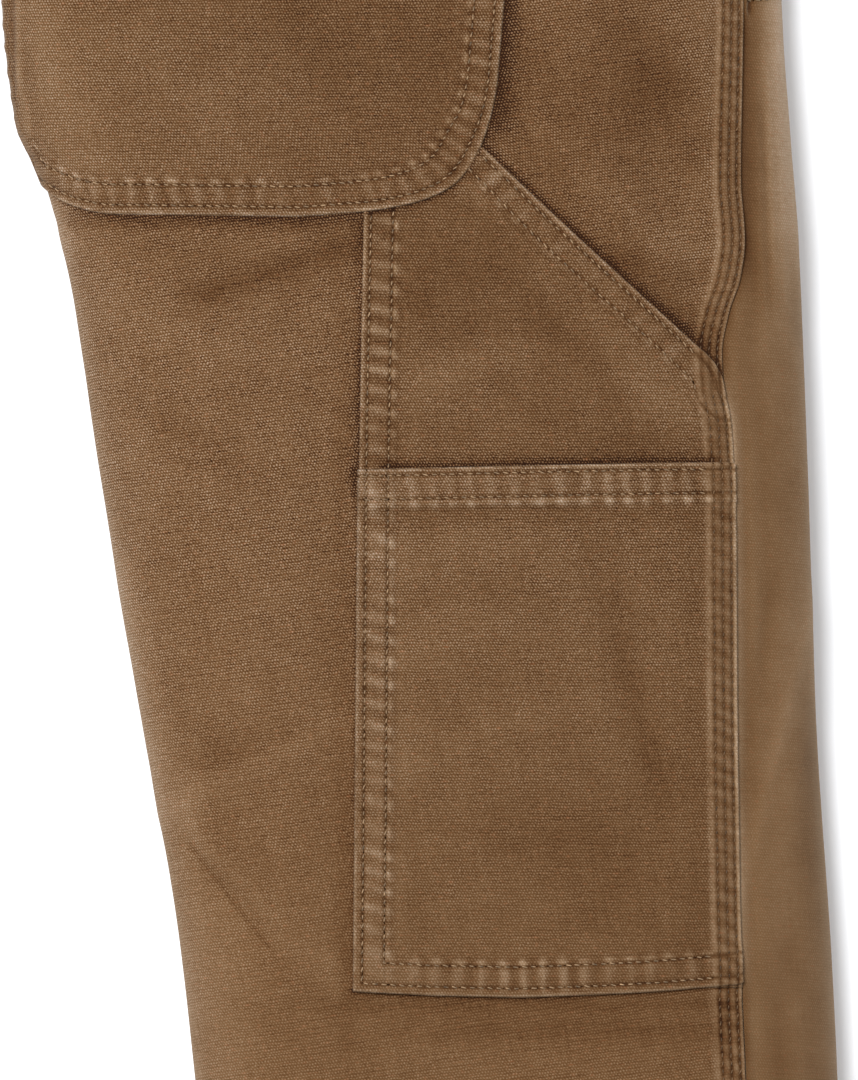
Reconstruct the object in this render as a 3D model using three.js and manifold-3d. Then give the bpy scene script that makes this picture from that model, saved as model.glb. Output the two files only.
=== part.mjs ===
// Canvas work pants, folded in half lengthwise with the backs outward, lying on a surface.
// Millimetres, +Z up. +X is the outseam side and +Y runs from the hem to the waist. The origin is on
// the surface, under the middle of the pants' box.
//
// The pile is described by its cross-sections, a row for each. From the top down its layers are the
// right back, the right front, the left front and the left back. What shows is cloth walls, one for
// each piece that is cut and sewn on. What is hidden between them is one rounded solid, which is
// grooved along the edges where the right half lies on the left.
import * as THREE from "three";
import Module from "manifold-3d";

const wasm = await Module();
wasm.setup();

// Whole garment
const LENGTH = 1085;
const MIDDLE_X = 172.8;

// Cloth and seams
const WALL = 1.5;
const SEAM_GAP = 0.3;
const CORE_GAP = 0.8;
const SLOT_EXTRA = 0.8;
const LAYER_GAP = 1.2;
const PATCH = 1.2;

// Waistband, yoke, hem and felled outseam
const BAND_DEPTH = 45;
const BAND_RAISE = 1.0;
const YOKE_AT_CENTRE = 96;
const YOKE_AT_SIDE = 78;
const HEM_DEPTH = 13;
const HEM_RAISE = 0.8;
const FELL_WIDTH = 10;
const FELL_RAISE = 1.0;
const STEP = 0.8;

// Grooves at the edges, between the right half and the left half
const LEFT_GROOVE = 14;
const RIGHT_GROOVE = 12;
const END_GROOVE = 6;
const LOWER_INSET = 5;
const END_INSET = 1;

// Open ends at the waist and the hems
const OPEN_DEPTH = 14;
const OPEN_SLIT = 3.4;
const LEG_GAP = 1.4;

// Front scoop pocket, whose mouth ends at the outseam
const SCOOP_END = 178;
const SCOOP_WIDTH = 115;
const FACING_DROP = 0.7;

const COLOURS = { leg: 0x7b5b3f, strip: 0x7d6044, patch: 0x75563a, under: 0x6b4e35 };

// How the pile runs: the distance below the waist's top edge, where its left and right edges lie,
// how high its top is, how far in the top rolls off to either side, how far the two legs have parted
// at the left edge, from 0 to 1, and how flat it is pressed, from 0 to 1.
const SECTIONS = [
  { down: 0, left: 31, right: 280, top: 19, rollLeft: 7, rollRight: 7, fork: 0, flat: 1 },
  { down: 45, left: 18, right: 291, top: 27, rollLeft: 16, rollRight: 20, fork: 0, flat: 0.8 },
  { down: 90, left: 6, right: 301, top: 40, rollLeft: 34, rollRight: 46, fork: 0, flat: 0.35 },
  { down: 130, left: 1.4, right: 307.5, top: 52, rollLeft: 48, rollRight: 72, fork: 0, flat: 0.1 },
  { down: 178, left: 2, right: 312.4, top: 61, rollLeft: 58, rollRight: 88, fork: 0, flat: 0 },
  { down: 202, left: 3.8, right: 313.6, top: 64, rollLeft: 60, rollRight: 92, fork: 0, flat: 0 },
  { down: 226, left: 7, right: 315.2, top: 65, rollLeft: 60, rollRight: 94, fork: 0.05, flat: 0 },
  { down: 242, left: 13, right: 316.4, top: 66, rollLeft: 60, rollRight: 95, fork: 0.2, flat: 0 },
  { down: 256, left: 19.4, right: 317.5, top: 66, rollLeft: 60, rollRight: 95, fork: 0.4, flat: 0 },
  { down: 274, left: 24.2, right: 318.8, top: 66, rollLeft: 60, rollRight: 95, fork: 0.7, flat: 0 },
  { down: 298, left: 29.2, right: 320.4, top: 66, rollLeft: 60, rollRight: 95, fork: 1, flat: 0 },
  { down: 370, left: 40, right: 323.2, top: 66, rollLeft: 60, rollRight: 95, fork: 1, flat: 0 },
  { down: 466, left: 56.8, right: 326.4, top: 65, rollLeft: 60, rollRight: 95, fork: 1, flat: 0 },
  { down: 562, left: 72.8, right: 332, top: 64, rollLeft: 58, rollRight: 92, fork: 1, flat: 0 },
  { down: 610, left: 77.8, right: 334.6, top: 63, rollLeft: 56, rollRight: 88, fork: 1, flat: 0 },
  { down: 700, left: 86, right: 338, top: 59, rollLeft: 52, rollRight: 80, fork: 1, flat: 0.05 },
  { down: 800, left: 96, right: 341, top: 51, rollLeft: 42, rollRight: 62, fork: 1, flat: 0.2 },
  { down: 900, left: 105, right: 343.4, top: 40, rollLeft: 30, rollRight: 42, fork: 1, flat: 0.45 },
  { down: 1000, left: 115, right: 345, top: 27, rollLeft: 16, rollRight: 20, fork: 1, flat: 0.8 },
  { down: 1085, left: 123, right: 345, top: 17.5, rollLeft: 7, rollRight: 7, fork: 1, flat: 1 },
];

// The outseam's folded ridge, which the tool pocket's opening pulls inward.
const SEAM = [
  { down: 0, x: 259 },
  { down: 90, x: 282 },
  { down: 178, x: 297.6 },
  { down: 250, x: 296.4 },
  { down: 274, x: 298 },
  { down: 289, x: 296.2 },
  { down: 303, x: 291.6 },
  { down: 320, x: 288.8 },
  { down: 334, x: 289.6 },
  { down: 350, x: 292.4 },
  { down: 374, x: 293.4 },
  { down: 466, x: 294.4 },
  { down: 562, x: 296.4 },
  { down: 610, x: 298.4 },
  { down: 800, x: 305 },
  { down: 1085, x: 312 },
];

// The largest soft folds on top, as straight troughs or ridges that fade out at their ends.
const FOLDS = [
  { x: 72, down: 510, toX: 101, toDown: 552, width: 9, depth: 2.2 },
  { x: 262, down: 226, toX: 280, toDown: 286, width: 13, depth: 2.4 },
  { x: 246, down: 384, toX: 258, toDown: 500, width: 22, depth: 2.0 },
  { x: 70, down: 306, toX: 130, toDown: 330, width: 16, depth: 1.6 },
  { x: 96, down: 664, toX: 190, toDown: 690, width: 15, depth: 3.0 },
  { x: 150, down: 722, toX: 270, toDown: 700, width: 17, depth: -2.2 },
  { x: 112, down: 770, toX: 176, toDown: 742, width: 13, depth: 2.6 },
  { x: 190, down: 850, toX: 300, toDown: 905, width: 20, depth: 2.4 },
];

// Rows of the walls, as distances below the waist's top edge.
const BODY_ROWS = [
  122, 150, 178, 204, 230, 252, 270, 288, 306, 334, 370, 414, 466, 520, 562, 610, 664, 712, 770, 840,
  910, 980, 1036,
];
const YOKE_ROWS = [62, YOKE_AT_SIDE, YOKE_AT_CENTRE];
const HEM_TOP = LENGTH - HEM_DEPTH;

// Smooth curve through a table's column, with no overshoot.
function smooth(table, key, down) {
  const last = table.length - 1;
  const at = Math.min(Math.max(down, table[0].down), table[last].down);
  let i = 0;
  while (i < last - 1 && at > table[i + 1].down) i += 1;
  const rise = (j) => (table[j + 1][key] - table[j][key]) / (table[j + 1].down - table[j].down);
  const slope = (j) => {
    if (j === 0) return rise(0);
    if (j === last) return rise(last - 1);
    const before = rise(j - 1);
    const after = rise(j);
    return before * after <= 0 ? 0 : (2 * before * after) / (before + after);
  };
  const span = table[i + 1].down - table[i].down;
  const t = (at - table[i].down) / span;
  const s = t * t * (3 - 2 * t);
  const bend = t * (1 - t);
  return (
    table[i][key] * (1 - s) +
    table[i + 1][key] * s +
    span * bend * (slope(i) * (1 - t) - slope(i + 1) * t)
  );
}

const mix = (a, b, t) => a + (b - a) * t;
const seamX = (down) => smooth(SEAM, "x", down);

// One cross-section's sizes, worked out from the table.
function sectionAt(down) {
  const get = (key) => smooth(SECTIONS, key, down);
  const fork = get("fork");
  const flat = get("flat");
  const top = get("top");
  const leftInset = fork * mix(LOWER_INSET, END_INSET, flat);
  const rightInset = mix(LOWER_INSET, END_INSET, flat);
  return {
    top,
    left: get("left"),
    right: get("right"),
    rollLeft: get("rollLeft"),
    rollRight: get("rollRight"),
    leftGroove: fork * mix(LEFT_GROOVE, END_GROOVE, flat),
    rightGroove: mix(RIGHT_GROOVE, END_GROOVE, flat),
    leftInset,
    rightInset,
    leftMiddle: top * mix(mix(0.36, 0.46, fork), 0.5, flat),
    rightMiddle: top * mix(0.28, 0.5, flat),
    leftWide: top * mix(mix(0.5, 0.61, fork), 0.76, flat),
    rightWide: top * mix(0.4, 0.76, flat),
  };
}

// How deep the folds press the top at a point, with a fold's ends fading over a quarter of its run.
function foldDepth(x, down) {
  let depth = 0;
  for (const fold of FOLDS) {
    const runX = fold.toX - fold.x;
    const runDown = fold.toDown - fold.down;
    const run = Math.hypot(runX, runDown);
    const along = ((x - fold.x) * runX + (down - fold.down) * runDown) / run;
    const across = ((x - fold.x) * runDown - (down - fold.down) * runX) / run;
    const outside = Math.max(0, -along, along - run) / (run / 4);
    depth += fold.depth * Math.exp(-((across / fold.width) ** 2) - outside ** 2);
  }
  return depth;
}

// A quarter of an ellipse about a centre, from one axis to the other.
function quarter(centre, from, to, steps = 20) {
  return Array.from({ length: steps + 1 }, (_, i) => {
    const turn = (i / steps) * (Math.PI / 2);
    return {
      x: centre.x + from.x * Math.cos(turn) + to.x * Math.sin(turn),
      z: centre.z + from.z * Math.cos(turn) + to.z * Math.sin(turn),
    };
  });
}

// Adds the running length to a line of points, and keeps the lengths at which its parts end.
function measured(parts) {
  const points = [];
  const ends = [];
  for (const part of parts) {
    for (const point of part) {
      const before = points[points.length - 1];
      const step = before ? Math.hypot(point.x - before.x, point.z - before.z) : 0;
      if (before && step < 1e-6) continue;
      points.push({ ...point, s: before ? before.s + step : 0 });
    }
    ends.push(points[points.length - 1].s);
  }
  return { points, ends, length: points[points.length - 1].s };
}

// The upper half's outer line, from the left groove over the top to the right groove.
function upperLine(down) {
  const c = sectionAt(down);
  const half = LAYER_GAP / 2;
  const leftDrop = c.leftWide - c.leftMiddle - half;
  const rightDrop = c.rightWide - c.rightMiddle - half;
  const under = quarter(
    { x: c.left + c.leftGroove, z: c.leftWide }, { x: 0, z: -leftDrop }, { x: -c.leftGroove, z: 0 });
  const leftRoll = quarter(
    { x: c.left + c.rollLeft, z: c.leftWide }, { x: -c.rollLeft, z: 0 }, { x: 0, z: c.top - c.leftWide });
  const flatFrom = c.left + c.rollLeft;
  const flatTo = c.right - c.rollRight;
  const level = Array.from({ length: 25 }, (_, i) => ({ x: mix(flatFrom, flatTo, i / 24), z: c.top }));
  const rightRoll = quarter(
    { x: flatTo, z: c.rightWide }, { x: 0, z: c.top - c.rightWide }, { x: c.rollRight, z: 0 }, 40);
  const tuck = quarter(
    { x: c.right - c.rightGroove, z: c.rightWide }, { x: c.rightGroove, z: 0 }, { x: 0, z: -rightDrop });
  const parts = [under, leftRoll, level, rightRoll, tuck];
  for (const point of parts.slice(1, 4).flat()) {
    const low = point.x < (flatFrom + flatTo) / 2 ? c.leftWide : c.rightWide;
    point.z -= foldDepth(point.x, down) * Math.max(0, (point.z - low) / (c.top - low));
  }
  return measured(parts);
}

// The lower half's outer line, from the right groove along the surface to the left groove.
function lowerLine(down) {
  const c = sectionAt(down);
  const half = LAYER_GAP / 2;
  const rightWide = (c.rightMiddle - half) / 2;
  const leftWide = (c.leftMiddle - half) * mix(0.6, 0.5, c.leftGroove / LEFT_GROOVE);
  const rightRoll = c.rightGroove + 2;
  const leftRoll = Math.min(c.rollLeft * 0.6, 20);
  const tuck = quarter(
    { x: c.right - c.rightGroove, z: rightWide },
    { x: 0, z: c.rightMiddle - half - rightWide }, { x: c.rightGroove - c.rightInset, z: 0 });
  const rightFoot = c.right - c.rightInset - rightRoll;
  const right = quarter({ x: rightFoot, z: rightWide }, { x: rightRoll, z: 0 }, { x: 0, z: -rightWide });
  const leftFoot = c.left + c.leftInset + leftRoll;
  const level = Array.from({ length: 13 }, (_, i) => ({ x: mix(rightFoot, leftFoot, i / 12), z: 0 }));
  const left = quarter({ x: leftFoot, z: leftWide }, { x: 0, z: -leftWide }, { x: -leftRoll, z: 0 });
  const under = quarter(
    { x: c.left + c.leftGroove, z: leftWide },
    { x: c.leftInset - c.leftGroove, z: 0 }, { x: 0, z: c.leftMiddle - half - leftWide });
  return measured([tuck, right, level, left, under]);
}

const lines = { upper: new Map(), lower: new Map() };
function lineAt(side, down) {
  if (!lines[side].has(down)) {
    lines[side].set(down, side === "upper" ? upperLine(down) : lowerLine(down));
  }
  return lines[side].get(down);
}

// The place and the outward normal at a running length on a line.
function onLine(line, s) {
  const points = line.points;
  let i = 1;
  while (i < points.length - 1 && points[i].s < s) i += 1;
  const a = points[i - 1];
  const b = points[i];
  const t = Math.min(Math.max((s - a.s) / (b.s - a.s), 0), 1);
  const before = points[Math.max(i - 2, 0)];
  const after = points[Math.min(i + 1, points.length - 1)];
  const dx = mix(b.x - before.x, after.x - a.x, t);
  const dz = mix(b.z - before.z, after.z - a.z, t);
  const size = Math.hypot(dx, dz);
  return { x: mix(a.x, b.x, t), z: mix(a.z, b.z, t), nx: -dz / size, nz: dx / size };
}

// The running length at which the upper line passes a given x, on the top side.
function lengthAtX(line, x) {
  const points = line.points;
  for (let i = 1; i < points.length; i += 1) {
    const a = points[i - 1];
    const b = points[i];
    if (a.s >= line.ends[0] && a.x <= x && b.x > x) return mix(a.s, b.s, (x - a.x) / (b.x - a.x));
  }
  return line.length;
}

const seamLength = (line, down) => lengthAtX(line, seamX(down));

// Running lengths of the columns, from named stretches of a line.
const spread = (from, to, shares) => shares.map((share) => mix(from, to, share));
const UNDER_SHARES = [0, 0.55, 0.85];
const ROLL_SHARES = [0, 0.07, 0.16, 0.28, 0.45, 0.68];
const TOP_SHARES = [0, 0.1, 0.2, 0.3, 0.4, 0.5, 0.6, 0.7, 0.8, 0.9];
const EDGE_SHARES = [0.24, 0.44, 0.62, 0.78, 0.9];
const TUCK_SHARES = [0, 0.35, 1];

const underColumns = (down) => spread(0, lineAt("upper", down).ends[0], UNDER_SHARES);
const rollColumns = (down) => {
  const line = lineAt("upper", down);
  return spread(line.ends[0], line.ends[1], ROLL_SHARES);
};
const topColumns = (down) => {
  const line = lineAt("upper", down);
  return spread(line.ends[1], seamLength(line, down) - FELL_WIDTH - STEP, TOP_SHARES);
};
const fellColumns = (down) => {
  const seam = seamLength(lineAt("upper", down), down);
  return [seam - FELL_WIDTH - STEP, seam - FELL_WIDTH, seam];
};
const backColumns = (down) => [
  ...underColumns(down), ...rollColumns(down), ...topColumns(down), ...fellColumns(down),
];
const frontColumns = (down) => {
  const line = lineAt("upper", down);
  const seam = seamLength(line, down);
  return [
    seam + SEAM_GAP,
    ...spread(seam, line.ends[3], EDGE_SHARES),
    ...spread(line.ends[3], line.length, TUCK_SHARES),
  ];
};
const leftFrontColumns = (down) => {
  const [tuck, right] = lineAt("lower", down).ends;
  return [...spread(0, tuck, [0, 0.6]), ...spread(tuck, right, [0, 0.3, 0.6, 1]), right + 5];
};
const leftBackColumns = (down) => {
  const [, right, level, left, under] = lineAt("lower", down).ends;
  return [
    right + 5 + SEAM_GAP,
    ...spread(right, level, [0.2, 0.4, 0.6, 0.8]),
    ...spread(level, left, [0, 0.35, 0.62, 0.83]),
    ...spread(left, under, [0, 0.4, 1]),
  ];
};

// A point of a section, moved out along its normal, in the part's own frame.
function place(side, down, s, out) {
  const at = onLine(lineAt(side, down), s);
  return new THREE.Vector3(at.x + at.nx * out - MIDDLE_X, LENGTH / 2 - down, at.z + at.nz * out);
}

// A closed solid between two grids of points of the same size, with its four edges joined.
function slab(outer, inner) {
  const rows = outer.length;
  const columns = outer[0].length;
  const count = rows * columns;
  const points = [...outer.flat(), ...inner.flat()];
  const faces = [];
  const quad = (a, b, c, d) => faces.push([a, b, c], [a, c, d]);
  for (let r = 0; r < rows - 1; r += 1) {
    for (let c = 0; c < columns - 1; c += 1) {
      const a = r * columns + c;
      quad(a, a + columns, a + columns + 1, a + 1);
      quad(count + a, count + a + 1, count + a + columns + 1, count + a + columns);
    }
  }
  const edge = [
    ...Array.from({ length: columns - 1 }, (_, c) => c),
    ...Array.from({ length: rows - 1 }, (_, r) => r * columns + columns - 1),
    ...Array.from({ length: columns - 1 }, (_, c) => (rows - 1) * columns + columns - 1 - c),
    ...Array.from({ length: rows - 1 }, (_, r) => (rows - 1 - r) * columns),
  ];
  edge.forEach((a, i) => {
    const b = edge[(i + 1) % edge.length];
    quad(a, b, count + b, count + a);
  });
  return solid(points, faces);
}

// A manifold solid from points and triangles, turned to face out.
function solid(points, faces) {
  let volume = 0;
  for (const [a, b, c] of faces) {
    volume += points[a].dot(new THREE.Vector3().crossVectors(points[b], points[c]));
  }
  const turned = volume < 0 ? faces.map(([a, b, c]) => [a, c, b]) : faces;
  const vertProperties = new Float32Array(points.flatMap((p) => [p.x, p.y, p.z]));
  const triVerts = new Uint32Array(turned.flat());
  return new wasm.Manifold(new wasm.Mesh({ numProp: 3, vertProperties, triVerts }));
}

// A cloth wall along rows and columns of one side of the pile. A row is a distance below the waist or
// a function that gives it for a column's running length from the outseam.
function wall(side, rows, columnsAt, outerAt, innerAt = () => -WALL) {
  const grid = (offset) => rows.map((row) => {
    const level = typeof row === "function" ? row(0) : row;
    const line = lineAt(side, level);
    const seam = side === "upper" ? seamLength(line, level) : 0;
    return columnsAt(level).map((s, c, all) => {
      if (typeof row !== "function") return place(side, row, s, offset(row, c, all.length));
      const down = row(s - seam);
      return place(side, down, columnsAt(down)[c], offset(down, c, all.length));
    });
  });
  return slab(grid(outerAt), grid(innerAt));
}

// The seam between yoke and back, from the side down to the centre back.
const yokeSeam = (fromSeam) => mix(YOKE_AT_SIDE, YOKE_AT_CENTRE, Math.min(1, Math.max(0, -fromSeam / 300)));

// The scoop mouth of the front pocket, nearly level where it ends at the outseam.
function scoopMouth(fromSeam) {
  const share = Math.min(1, Math.max(0, fromSeam / SCOOP_WIDTH));
  return BAND_DEPTH + (SCOOP_END - BAND_DEPTH) * Math.sqrt(1 - share * share);
}

const hemRaise = (down) => (down >= HEM_TOP ? HEM_RAISE : 0);
const legRows = [...BODY_ROWS, HEM_TOP - STEP, HEM_TOP, LENGTH];

function rightBack() {
  const rows = [(s) => yokeSeam(s) + SEAM_GAP / 2, ...legRows];
  return wall("upper", rows, backColumns, (down, c, count) =>
    Math.max(hemRaise(down), c >= count - 2 ? FELL_RAISE : 0));
}

function rightYoke() {
  const rows = [() => BAND_DEPTH + SEAM_GAP, (s) => (BAND_DEPTH + yokeSeam(s)) / 2];
  const last = (s) => yokeSeam(s) - SEAM_GAP / 2;
  return wall("upper", [...rows, last], backColumns, (down, c, count) => (c >= count - 2 ? FELL_RAISE : 0));
}

function rightFront() {
  const below = legRows.filter((down) => down > SCOOP_END);
  const rows = [scoopMouth, (s) => (scoopMouth(s) + below[0]) / 2, ...below];
  return wall("upper", rows, frontColumns, (down) => hemRaise(down) - 0.2);
}

// The facing's rows meet the yoke's and the back's along the outseam, and crowd towards the mouth.
function frontPocketFacing() {
  const top = BAND_DEPTH + SEAM_GAP;
  const upto = [...YOKE_ROWS, ...BODY_ROWS].filter((down) => down < SCOOP_END);
  const atSeam = [top, ...upto, SCOOP_END];
  const rows = atSeam.map((down) => (s) =>
    mix(top, scoopMouth(s) - SEAM_GAP, (down - top) / (SCOOP_END - top)));
  return wall("upper", rows, frontColumns, () => -FACING_DROP);
}

function leftFront() {
  const rows = [BAND_DEPTH + SEAM_GAP, ...YOKE_ROWS, ...legRows];
  return wall("lower", rows, leftFrontColumns, () => 0);
}

function leftBack() {
  return wall("lower", [YOKE_AT_CENTRE + SEAM_GAP, ...BODY_ROWS, HEM_TOP, LENGTH], leftBackColumns, () => 0);
}

function leftYoke() {
  return wall("lower", [BAND_DEPTH + SEAM_GAP, ...YOKE_ROWS], leftBackColumns, () => 0);
}

// The waistband runs from the right groove over the top, round the fold at the centre back and along
// the surface to the right groove again.
function waistband() {
  const rows = [0, 22, BAND_DEPTH];
  const grid = (out) => rows.map((down) => {
    const upper = [...backColumns(down).slice(0, -3), ...fellColumns(down).slice(-1), ...frontColumns(down).slice(1)];
    const lower = [...leftFrontColumns(down), ...leftBackColumns(down).slice(1)];
    const lineLength = lineAt("upper", down).length;
    const over = upper.reverse().map((s) => {
      const fade = Math.min(1, s / 20, (lineLength - s) / 20);
      return place("upper", down, s, out ? BAND_RAISE * fade : -WALL);
    });
    const below = lower.reverse().map((s) => place("lower", down, s, out ? 0 : -WALL));
    return [...over, ...below];
  });
  return slab(grid(true), grid(false));
}

// The hidden layers, as one closed ring for each row, with a slot for the walls' edges in each groove.
const CORE_ROWS = [OPEN_DEPTH, BAND_DEPTH, ...YOKE_ROWS, ...BODY_ROWS, LENGTH - OPEN_DEPTH];
function coreRing(down) {
  const back = [...underColumns(down), ...rollColumns(down), ...topColumns(down), ...fellColumns(down).slice(2)];
  const lower = [...leftFrontColumns(down), ...leftBackColumns(down).slice(1)];
  const inside = (side) => (s) => place(side, down, s, -WALL - CORE_GAP);
  const over = [...back, ...frontColumns(down).slice(1)].map(inside("upper"));
  const below = lower.map(inside("lower"));
  const deeper = (point, by) => point.clone().setX(point.x + by);
  return [
    deeper(over[0], SLOT_EXTRA), ...over, deeper(over[over.length - 1], -SLOT_EXTRA),
    deeper(below[0], -SLOT_EXTRA), ...below, deeper(below[below.length - 1], SLOT_EXTRA),
  ];
}

function core() {
  const rings = CORE_ROWS.map(coreRing);
  const size = rings[0].length;
  const faces = [];
  for (let r = 0; r < rings.length - 1; r += 1) {
    for (let i = 0; i < size; i += 1) {
      const a = r * size + i;
      const b = r * size + ((i + 1) % size);
      faces.push([a, a + size, b + size], [a, b + size, b]);
    }
  }
  const cap = (ring, offset, flip) => {
    const outline = ring.map((p) => new THREE.Vector2(p.x, p.z));
    for (const [a, b, c] of THREE.ShapeUtils.triangulateShape(outline, [])) {
      faces.push(flip ? [offset + a, offset + c, offset + b] : [offset + a, offset + b, offset + c]);
    }
  };
  cap(rings[0], 0, true);
  cap(rings[rings.length - 1], (rings.length - 1) * size, false);
  return solid(rings.flat(), faces);
}

// A straight block between two section lines, for the layers at the open ends and the gap in them.
function block(fromDown, toDown, leftIn, rightIn, low, high) {
  const rows = [fromDown, toDown].map((down) => {
    const c = sectionAt(Math.min(Math.max(down, 0), LENGTH));
    return { y: LENGTH / 2 - down, left: c.left + leftIn - MIDDLE_X, right: c.right - rightIn - MIDDLE_X, c };
  });
  const grid = (height) => rows.map((row) => [
    new THREE.Vector3(row.left, row.y, height(row.c)), new THREE.Vector3(row.right, row.y, height(row.c)),
  ]);
  return slab(grid(high), grid(low));
}

// The front layers that show inside the open waist and the open hems.
function foldedLayers() {
  const low = () => WALL + OPEN_SLIT;
  const high = (c) => c.top - WALL - OPEN_SLIT;
  const gapLow = (c) => c.top / 2 - LEG_GAP / 2;
  const gapHigh = (c) => c.top / 2 + LEG_GAP / 2;
  const reach = OPEN_DEPTH + 4;
  const side = WALL + OPEN_SLIT + 3;
  const waistLayers = block(0.5, reach, side, side, low, high);
  const hemLayers = block(LENGTH - reach, LENGTH - 0.5, side, side, low, high);
  const waistGap = block(-4, reach - 2, side + 20, -4, gapLow, gapHigh);
  const hemGap = block(LENGTH - reach + 2, LENGTH + 4, -4, -4, gapLow, gapHigh);
  return core().add(waistLayers).add(hemLayers).subtract(waistGap).subtract(hemGap);
}

// A layer that lies on the right back, made from its points, between two heights above it. At the
// left it turns just round the pile's edge.
function layer(from, to) {
  const rows = [(s) => yokeSeam(s) + SEAM_GAP / 2, ...BODY_ROWS];
  const columns = (down) => backColumns(down).slice(UNDER_SHARES.length - 1);
  const lift = (height) => (down, c, count) => height + (c >= count - 2 ? FELL_RAISE : 0);
  return wall("upper", rows, columns, lift(to), lift(from));
}

// An upright prism over an outline, given as a function that draws it in x and distance below the waist.
function prism(draw) {
  const shape = new THREE.Shape();
  draw({
    move: (x, down) => shape.moveTo(x - MIDDLE_X, LENGTH / 2 - down),
    line: (x, down) => shape.lineTo(x - MIDDLE_X, LENGTH / 2 - down),
    curve: (cx, cDown, x, down) =>
      shape.quadraticCurveTo(cx - MIDDLE_X, LENGTH / 2 - cDown, x - MIDDLE_X, LENGTH / 2 - down),
  });
  const outline = shape.getPoints(6);
  if (outline[0].distanceTo(outline[outline.length - 1]) < 0.01) outline.pop();
  const low = outline.map((p) => new THREE.Vector3(p.x, p.y, -20));
  const high = outline.map((p) => new THREE.Vector3(p.x, p.y, 120));
  const count = outline.length;
  const faces = [];
  for (const [a, b, c] of THREE.ShapeUtils.triangulateShape(outline, [])) {
    faces.push([a, c, b], [count + a, count + b, count + c]);
  }
  const clockwise = THREE.ShapeUtils.isClockWise(outline);
  outline.forEach((_, i) => {
    const next = (i + 1) % count;
    if (clockwise) faces.push([i, count + i, count + next], [i, count + next, next]);
    else faces.push([i, next, count + next], [i, count + next, count + i]);
  });
  return solid([...low, ...high], faces);
}

// The back pocket: a straight top, a lower right corner with a wide curve and a tighter left one that
// turns round the pile's edge.
const BACK_POCKET = { top: 97, right: 202.5, bottom: 264.5 };
function backPocketOutline(pen, grow = 0) {
  pen.move(-20, BACK_POCKET.top + 5 - grow);
  pen.line(BACK_POCKET.right + grow, BACK_POCKET.top - 4 - grow);
  pen.line(201.4 + grow, 178);
  pen.line(198.6 + grow, 212);
  pen.curve(194.5 + grow, 240, 182 + grow, 251.5 + grow);
  pen.curve(171 + grow, 260 + grow, 145 + grow, 262.6 + grow);
  pen.line(120, BACK_POCKET.bottom + grow);
  pen.line(44, BACK_POCKET.bottom - 1 + grow);
  pen.curve(26, 261.5 + grow, 16, 249 + grow);
  pen.curve(8, 236, 0, 222);
  pen.line(-20, 200);
}

// The slanted opening from the back pocket's corner to the outseam.
function toolPocketOutline(pen) {
  pen.move(146.6, 220);
  pen.line(186, 231);
  pen.line(194.4, 238.4);
  pen.line(226.8, 268.8);
  pen.line(282, 320.5);
  pen.curve(291, 329, 292.5, 342);
  pen.line(320, 342);
  pen.line(320, 572);
  pen.line(143.2, 573);
  pen.line(144.4, 320);
}

const SLANT_HEM = 10.4;
function slantHemOutline(pen) {
  pen.move(194.4, 238.4);
  pen.line(226.8, 268.8);
  pen.line(282, 320.5);
  pen.curve(291, 329, 292.5, 342);
  pen.line(285, 347);
  pen.curve(283, 336, 276, 329);
  pen.line(220, 276.4);
  pen.line(187, 238.4 + SLANT_HEM * 0.6);
}

const POCKET_HEM = 13;
function utilityPocketOutline(pen) {
  pen.move(143.2, 366.4);
  pen.line(200, 364.8);
  pen.line(260, 363.6);
  pen.line(320, 363);
  pen.line(320, 570.6);
  pen.line(285.6, 572.4);
  pen.line(240, 575.2);
  pen.line(172, 575.6);
  pen.line(142, 574);
}

function utilityHemOutline(pen) {
  pen.move(143.2, 366.4);
  pen.line(200, 364.8);
  pen.line(260, 363.6);
  pen.line(320, 363);
  pen.line(320, 363 + POCKET_HEM);
  pen.line(200, 364.8 + POCKET_HEM);
  pen.line(142.9, 366.4 + POCKET_HEM);
}

const TOOL_LOW = SEAM_GAP;
const TOOL_HIGH = TOOL_LOW + PATCH;
const UTILITY_LOW = TOOL_HIGH + SEAM_GAP;
const UTILITY_HIGH = UTILITY_LOW + PATCH;
const POCKET_HEM_RAISE = 0.6;

function backPocket() {
  return layer(TOOL_LOW, TOOL_HIGH).intersect(prism((pen) => backPocketOutline(pen)));
}

function toolPocket() {
  const plain = layer(TOOL_LOW, TOOL_HIGH).intersect(prism(toolPocketOutline));
  const hem = layer(TOOL_LOW, TOOL_HIGH + POCKET_HEM_RAISE).intersect(prism(slantHemOutline));
  return plain.add(hem).subtract(prism((pen) => backPocketOutline(pen, SEAM_GAP)));
}

function utilityPocket() {
  const plain = layer(UTILITY_LOW, UTILITY_HIGH).intersect(prism(utilityPocketOutline));
  const hem = layer(UTILITY_LOW, UTILITY_HIGH + POCKET_HEM_RAISE).intersect(prism(utilityHemOutline));
  return plain.add(hem);
}

// A belt loop: a strap across the waistband that stands a little off it between its two tacks. The
// one at the centre back follows the fold, and the others stand square to the waist.
const LOOP = { width: 12, from: 1.5, to: 52, thick: 1.6, slack: 1.6 };
const LOOP_X = { back: 136, side: 246 };
function beltLoop(middleAt) {
  const rows = [LOOP.from, 8, 16, 27, 38, 46.5, LOOP.to];
  const arch = (down) => {
    const share = (down - LOOP.from) / (LOOP.to - LOOP.from);
    return BAND_RAISE + SEAM_GAP + LOOP.slack * Math.sin(Math.PI * share);
  };
  const columns = (down) => {
    const middle = middleAt(lineAt("upper", down));
    return [-0.5, -0.17, 0.17, 0.5].map((share) => middle + share * LOOP.width);
  };
  return wall("upper", rows, columns, (down) => arch(down) + LOOP.thick, arch);
}

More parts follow.
